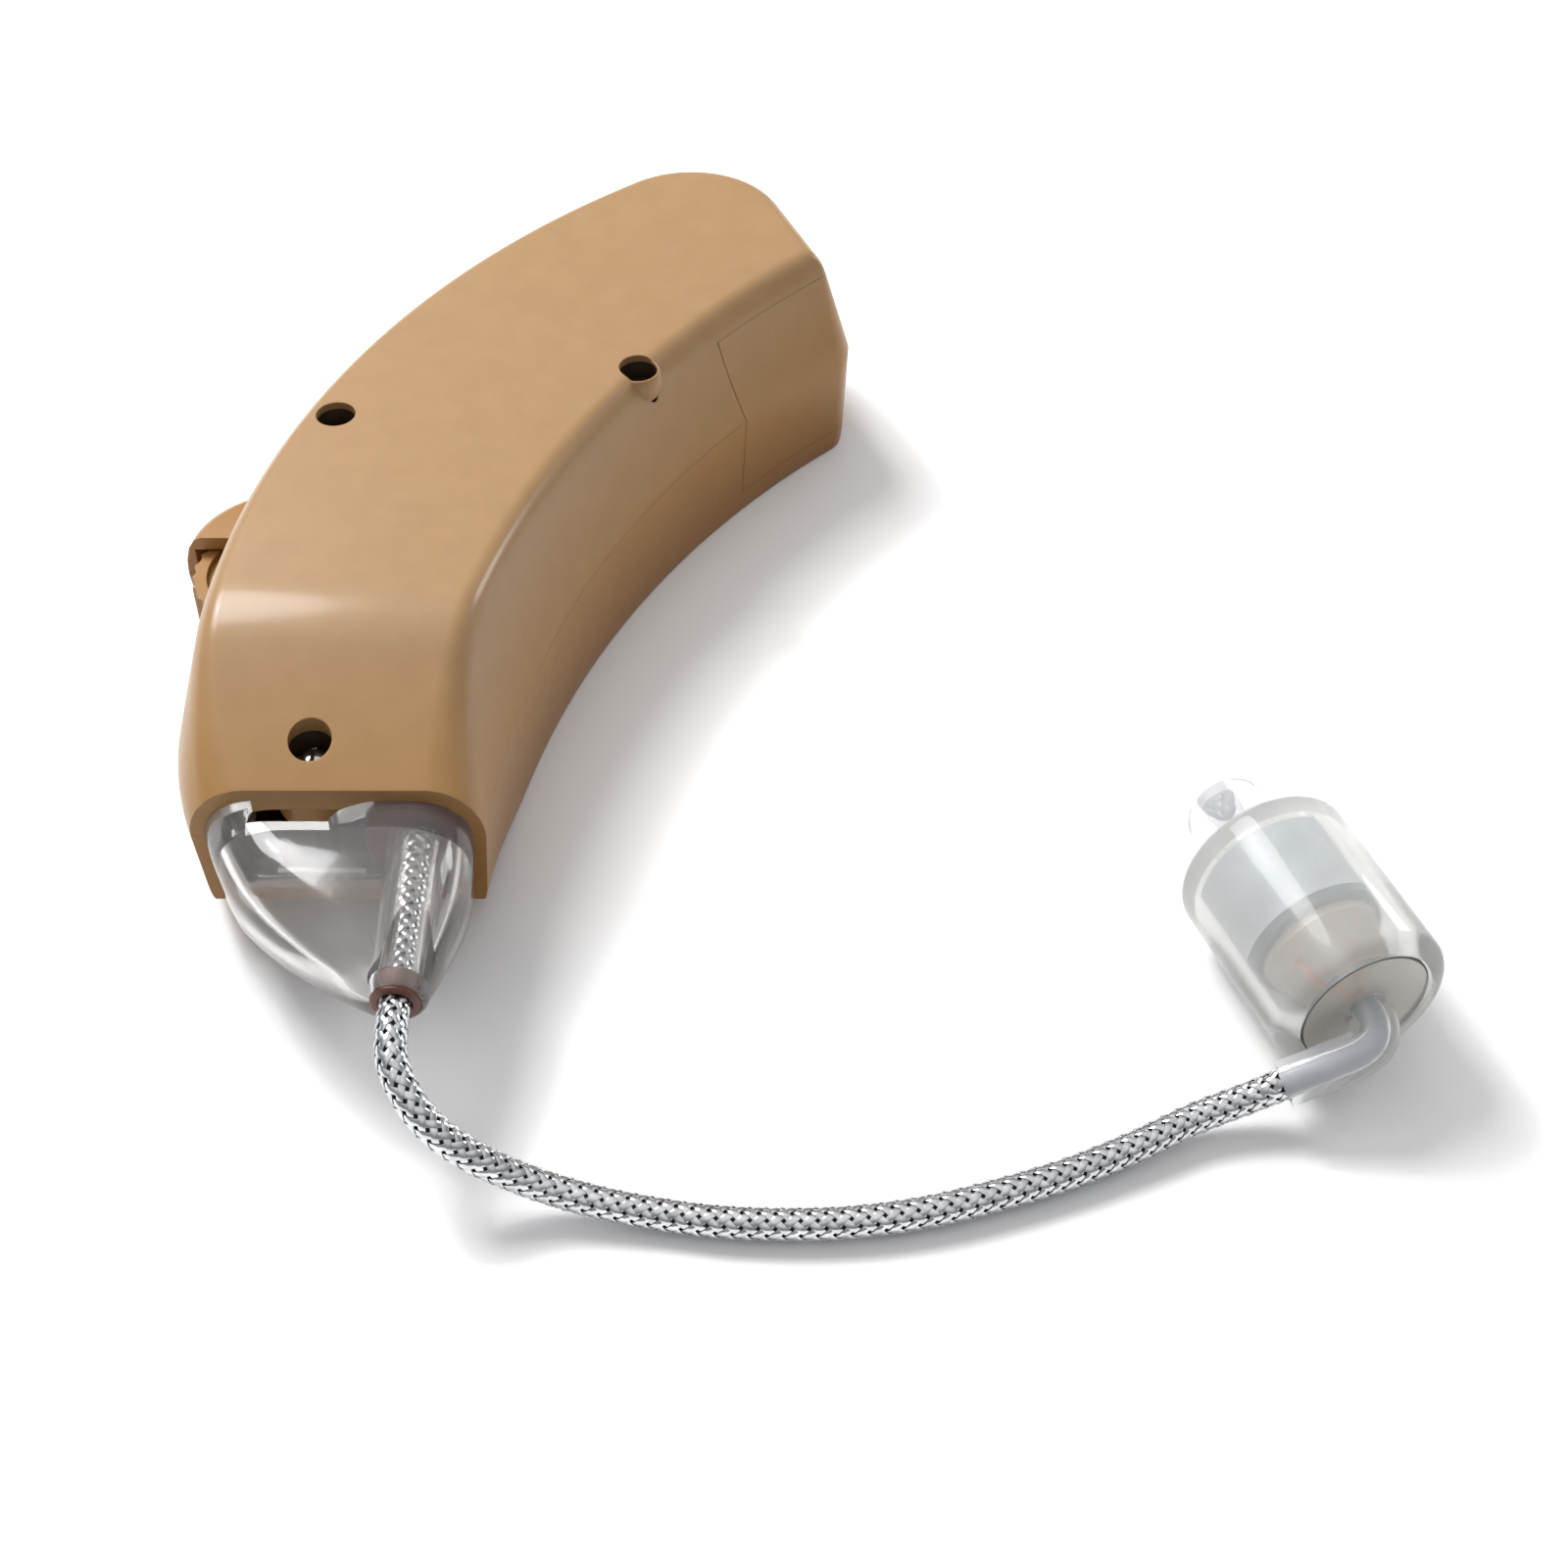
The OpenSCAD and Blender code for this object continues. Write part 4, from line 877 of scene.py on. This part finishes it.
RELIEF_OUT = 1.5
RECEIVER_TURN = 111
R_OUT, R_BOWL = 3.15, 2.45
BACK, FRONT = -3.7, 3.7
receiver_mid = Vector((21.6, -33.5, R_OUT))
nose = Vector((math.cos(deg(RECEIVER_TURN)), math.sin(deg(RECEIVER_TURN)), 0))
relief_end = Vector((20.1, -38.95, 1.7))
relief_bend = receiver_mid + (BACK - RELIEF_OUT) * nose
relief_along = (relief_end - relief_bend).normalized()
LEAD_D = 1.1
LEAD_POINTS = [
    (-8.7, -40.3, 4.5), (-8.2, -41.2, 3.95), (-7.4, -41.9, 3.2), (-6.3, -42.3, 2.4),
    (-5.1, -42.5, 1.7), (-3.8, -42.7, 1.15), (-2.2, -43, 0.8), (-0.4, -43.3, 0.62),
    (1.6, -43.6, 0.6), (3.8, -43.7, 0.6), (6, -43.6, 0.6), (8.4, -43.2, 0.6),
    (10.8, -42.5, 0.6), (13, -41.7, 0.6), (15.2, -40.7, 0.68), (17.2, -39.7, 0.84)]
lead_path = spread([(lead_x, bush_y1, MID), (lead_x, bush_y1 - LEAD_D, MID)] + LEAD_POINTS
                   + [relief_end + LEAD_D * relief_along, relief_end])
lead = braided("lead_braid", lead_path, "case", "lead")
tail = [Vector((lead_x, mix(crimp_y0 - FIT, bush_y1, t), MID)) for t in steps(80)]
braided("tail_braid", tail, "case", "lead_tail")


# Receiver

def arc(r, z, e, a0, a1, n=8):
    """Quarter round of radius e whose outermost point is at radius r."""
    turns = [deg(mix(a0, a1, t)) for t in steps(n)]
    return [(r - e + e * math.cos(a), z + e * math.sin(a)) for a in turns]


def in_receiver(name, profile, sides=96):
    return turned(name, profile, receiver_mid, nose, sides, ring=True)


R_EDGE, FRONT_WALL, NUB_HOLE_R = 0.55, 0.6, 1.25
body_profile = [(R_BOWL, BACK)]
body_profile += arc(R_OUT, BACK + R_EDGE, R_EDGE, -90, 0)
body_profile += arc(R_OUT, FRONT - R_EDGE, R_EDGE, 0, 90)
body_profile += [(NUB_HOLE_R, FRONT), (NUB_HOLE_R, FRONT - FRONT_WALL), (R_BOWL, FRONT - FRONT_WALL)]
body = in_receiver("receiver_skin", body_profile, sides=128)
piece(body, "receiver_skin", "case", "milky_plastic", milky, "receiver_case")
CAP_R, CAP_EDGE, CAP_HOLE_R = R_BOWL - 0.07, 0.07, 0.6
cap_back, cap_front = BACK + 0.04, BACK + 0.32
cap_profile = [(CAP_HOLE_R, cap_back), (CAP_R - CAP_EDGE, cap_back), (CAP_R, cap_back + CAP_EDGE),
               (CAP_R, cap_front), (CAP_HOLE_R, cap_front)]
cap = in_receiver("cap_skin", cap_profile)
piece(cap, "cap_skin", "case", "milky_plastic", cloudy, "receiver_cap")


def on_cap_edge(at):
    at = at - receiver_mid
    return (at - at.dot(nose) * nose).length > CAP_R - CAP_EDGE - 0.01


# Painted shade: the cap's outer edge, where it meets the receiver's bowl, takes the dark groove colour
paint(cap, shadow, on_cap_edge)

# Nub: a plug in the receiver's front, a neck and a domed bead, with the sound passage through all
NUB_R, NUB_LEN = 1.45, 3.3
PORT_R = 0.65
NECK_R, NECK_LEN = 1.15, 1.1
plug_r, plug_back = NUB_HOLE_R - FIT, FRONT - FRONT_WALL + FIT
FLARE_LEN, DOME_LIFT = 0.3, 0.825
dome_z = FRONT + NECK_LEN + FLARE_LEN + DOME_LIFT
last_turn = math.degrees(math.acos(PORT_R / NUB_R))
nub_profile = [(PORT_R, plug_back), (plug_r, plug_back), (plug_r, FRONT + FIT), (NECK_R, FRONT + 0.06),
               (NECK_R, FRONT + NECK_LEN), (1.22, FRONT + 1.14), (1.4, FRONT + 1.34), (NUB_R, FRONT + 1.42)]
nub_profile += [(NUB_R * math.cos(deg(a)), dome_z + (FRONT + NUB_LEN - dome_z) * math.sin(deg(a)))
                for a in [last_turn * t for t in steps(14)]]
piece(in_receiver("nub_skin", nub_profile), "nub_skin", "case", "clear_plastic", faint, "sound_nub")

CAN_LEN, CAN_WALL = 3.9, 0.3
CAN_EDGE, CAN_NOSE = 0.08, 0.2
BAND_LEN = 0.45
can_back = FRONT - FRONT_WALL - FIT - CAN_LEN
can_front = can_back + CAN_LEN
can_r = R_BOWL - FIT
can_profile = [(can_r - CAN_WALL, can_back), (can_r - CAN_EDGE, can_back), (can_r, can_back + CAN_EDGE),
               (can_r, can_back + BAND_LEN), (can_r, can_front - CAN_NOSE), (can_r - CAN_NOSE, can_front),
               (PORT_R, can_front), (PORT_R, can_front - CAN_WALL),
               (can_r - CAN_WALL, can_front - CAN_WALL)]
capsule = in_receiver("capsule_skin", can_profile)
piece(capsule, "capsule_skin", "case", "steel", can, "speaker_capsule")
paint(capsule, blued, lambda at: (at - receiver_mid).dot(nose) < can_back + BAND_LEN - 0.05)

RELIEF_R, RELIEF_BORE_R, END_CORE_R = 0.8, 0.44, 0.42
bend = RELIEF_OUT - 0.04
relief_root = receiver_mid + (BACK + 0.2 - FIT) * nose
elbow = [relief_root]
elbow += [relief_bend + ((1 - t) ** 2 * nose + t * t * relief_along) * bend for t in steps(24)]
elbow = elbow[:1] + [mix(elbow[0], elbow[1], t) for t in steps(4)[1:-1]] + elbow[1:]
elbow += [mix(elbow[-1], relief_end, t) for t in steps(16)[1:]]
elbow_tube = tube("elbow_skin", elbow, RELIEF_R, RELIEF_BORE_R)
piece(elbow_tube, "elbow_skin", "case", "clear_plastic", frosted, "strain_relief")
piece(tube("end_core", elbow, END_CORE_R), "end_core", "case", "braid", jacket, "lead_end")

# CAD nodes that are shown as they are get their finish from their slot
for name, ob in frame["nodes"].items():
    if not ob.hide_render:
        ob.data.materials.clear()
        ob.data.materials.append(BY_NODE.get(name, BY_SLOT[slot_of[name]]))
        shade(ob, 30)


# Floor, light and background

floor_mat, f_nodes, f_links, f_bsdf = new_material("floor")
f_fac = noise(f_nodes, f_links, 40.0)
f_links.new(ramp(f_nodes, f_links, f_fac, [(0.3, (0.90, 0.90, 0.90)), (0.7, (0.92, 0.92, 0.92))]),
            f_bsdf.inputs["Base Color"])
f_bsdf.inputs["Roughness"].default_value = 0.7
FLOOR_HALF, FLOOR_Z = 900, -0.02
corners = ((-1, -1), (1, -1), (1, 1), (-1, 1))
floor = add_mesh("floor", [(x * FLOOR_HALF, y * FLOOR_HALF, FLOOR_Z) for x, y in corners], [(0, 1, 2, 3)])
floor.data.materials.append(floor_mat)


def area(name, at, aim, size, power):
    """Round light of a size in millimetres."""
    data = bpy.data.lights.new(name, "AREA")
    data.shape = "DISK"
    data.size = size * MM
    data.energy = power
    ob = bpy.data.objects.new(name, data)
    ob.location = Vector(at) * MM
    ob.rotation_euler = (Vector(aim) - Vector(at)).to_track_quat("-Z", "Y").to_euler()
    collection.objects.link(ob)


# A broad key light, a small one at the same place for sharp glints, and one along the ridge
KEY_AT, KEY_AIM = (-110, 90, 190), (0, -15, 0)
area("key", KEY_AT, KEY_AIM, 120, 0.62)
area("glint", KEY_AT, KEY_AIM, 16, 0.08)
area("ridge", (125, 75, 48), (0, -15, 8), 40, 0.05)

world = bpy.data.worlds.new("world")
bpy.context.scene.world = world
world.use_nodes = True
w_nodes, w_links = world.node_tree.nodes, world.node_tree.links
background = w_nodes["Background"]
w_coord = w_nodes.new("ShaderNodeTexCoord")
w_split = w_nodes.new("ShaderNodeSeparateXYZ")
w_links.new(w_coord.outputs["Generated"], w_split.inputs["Vector"])
w_ramp = ramp(w_nodes, w_links, w_split.outputs["Z"],
              [(0.0, (0.30, 0.30, 0.31)), (0.45, (0.36, 0.37, 0.39)), (0.9, (1.0, 1.0, 1.0))])
w_links.new(w_ramp, background.inputs["Color"])
background.inputs["Strength"].default_value = 0.8

scene = bpy.context.scene
scene.view_settings.view_transform = "Standard"
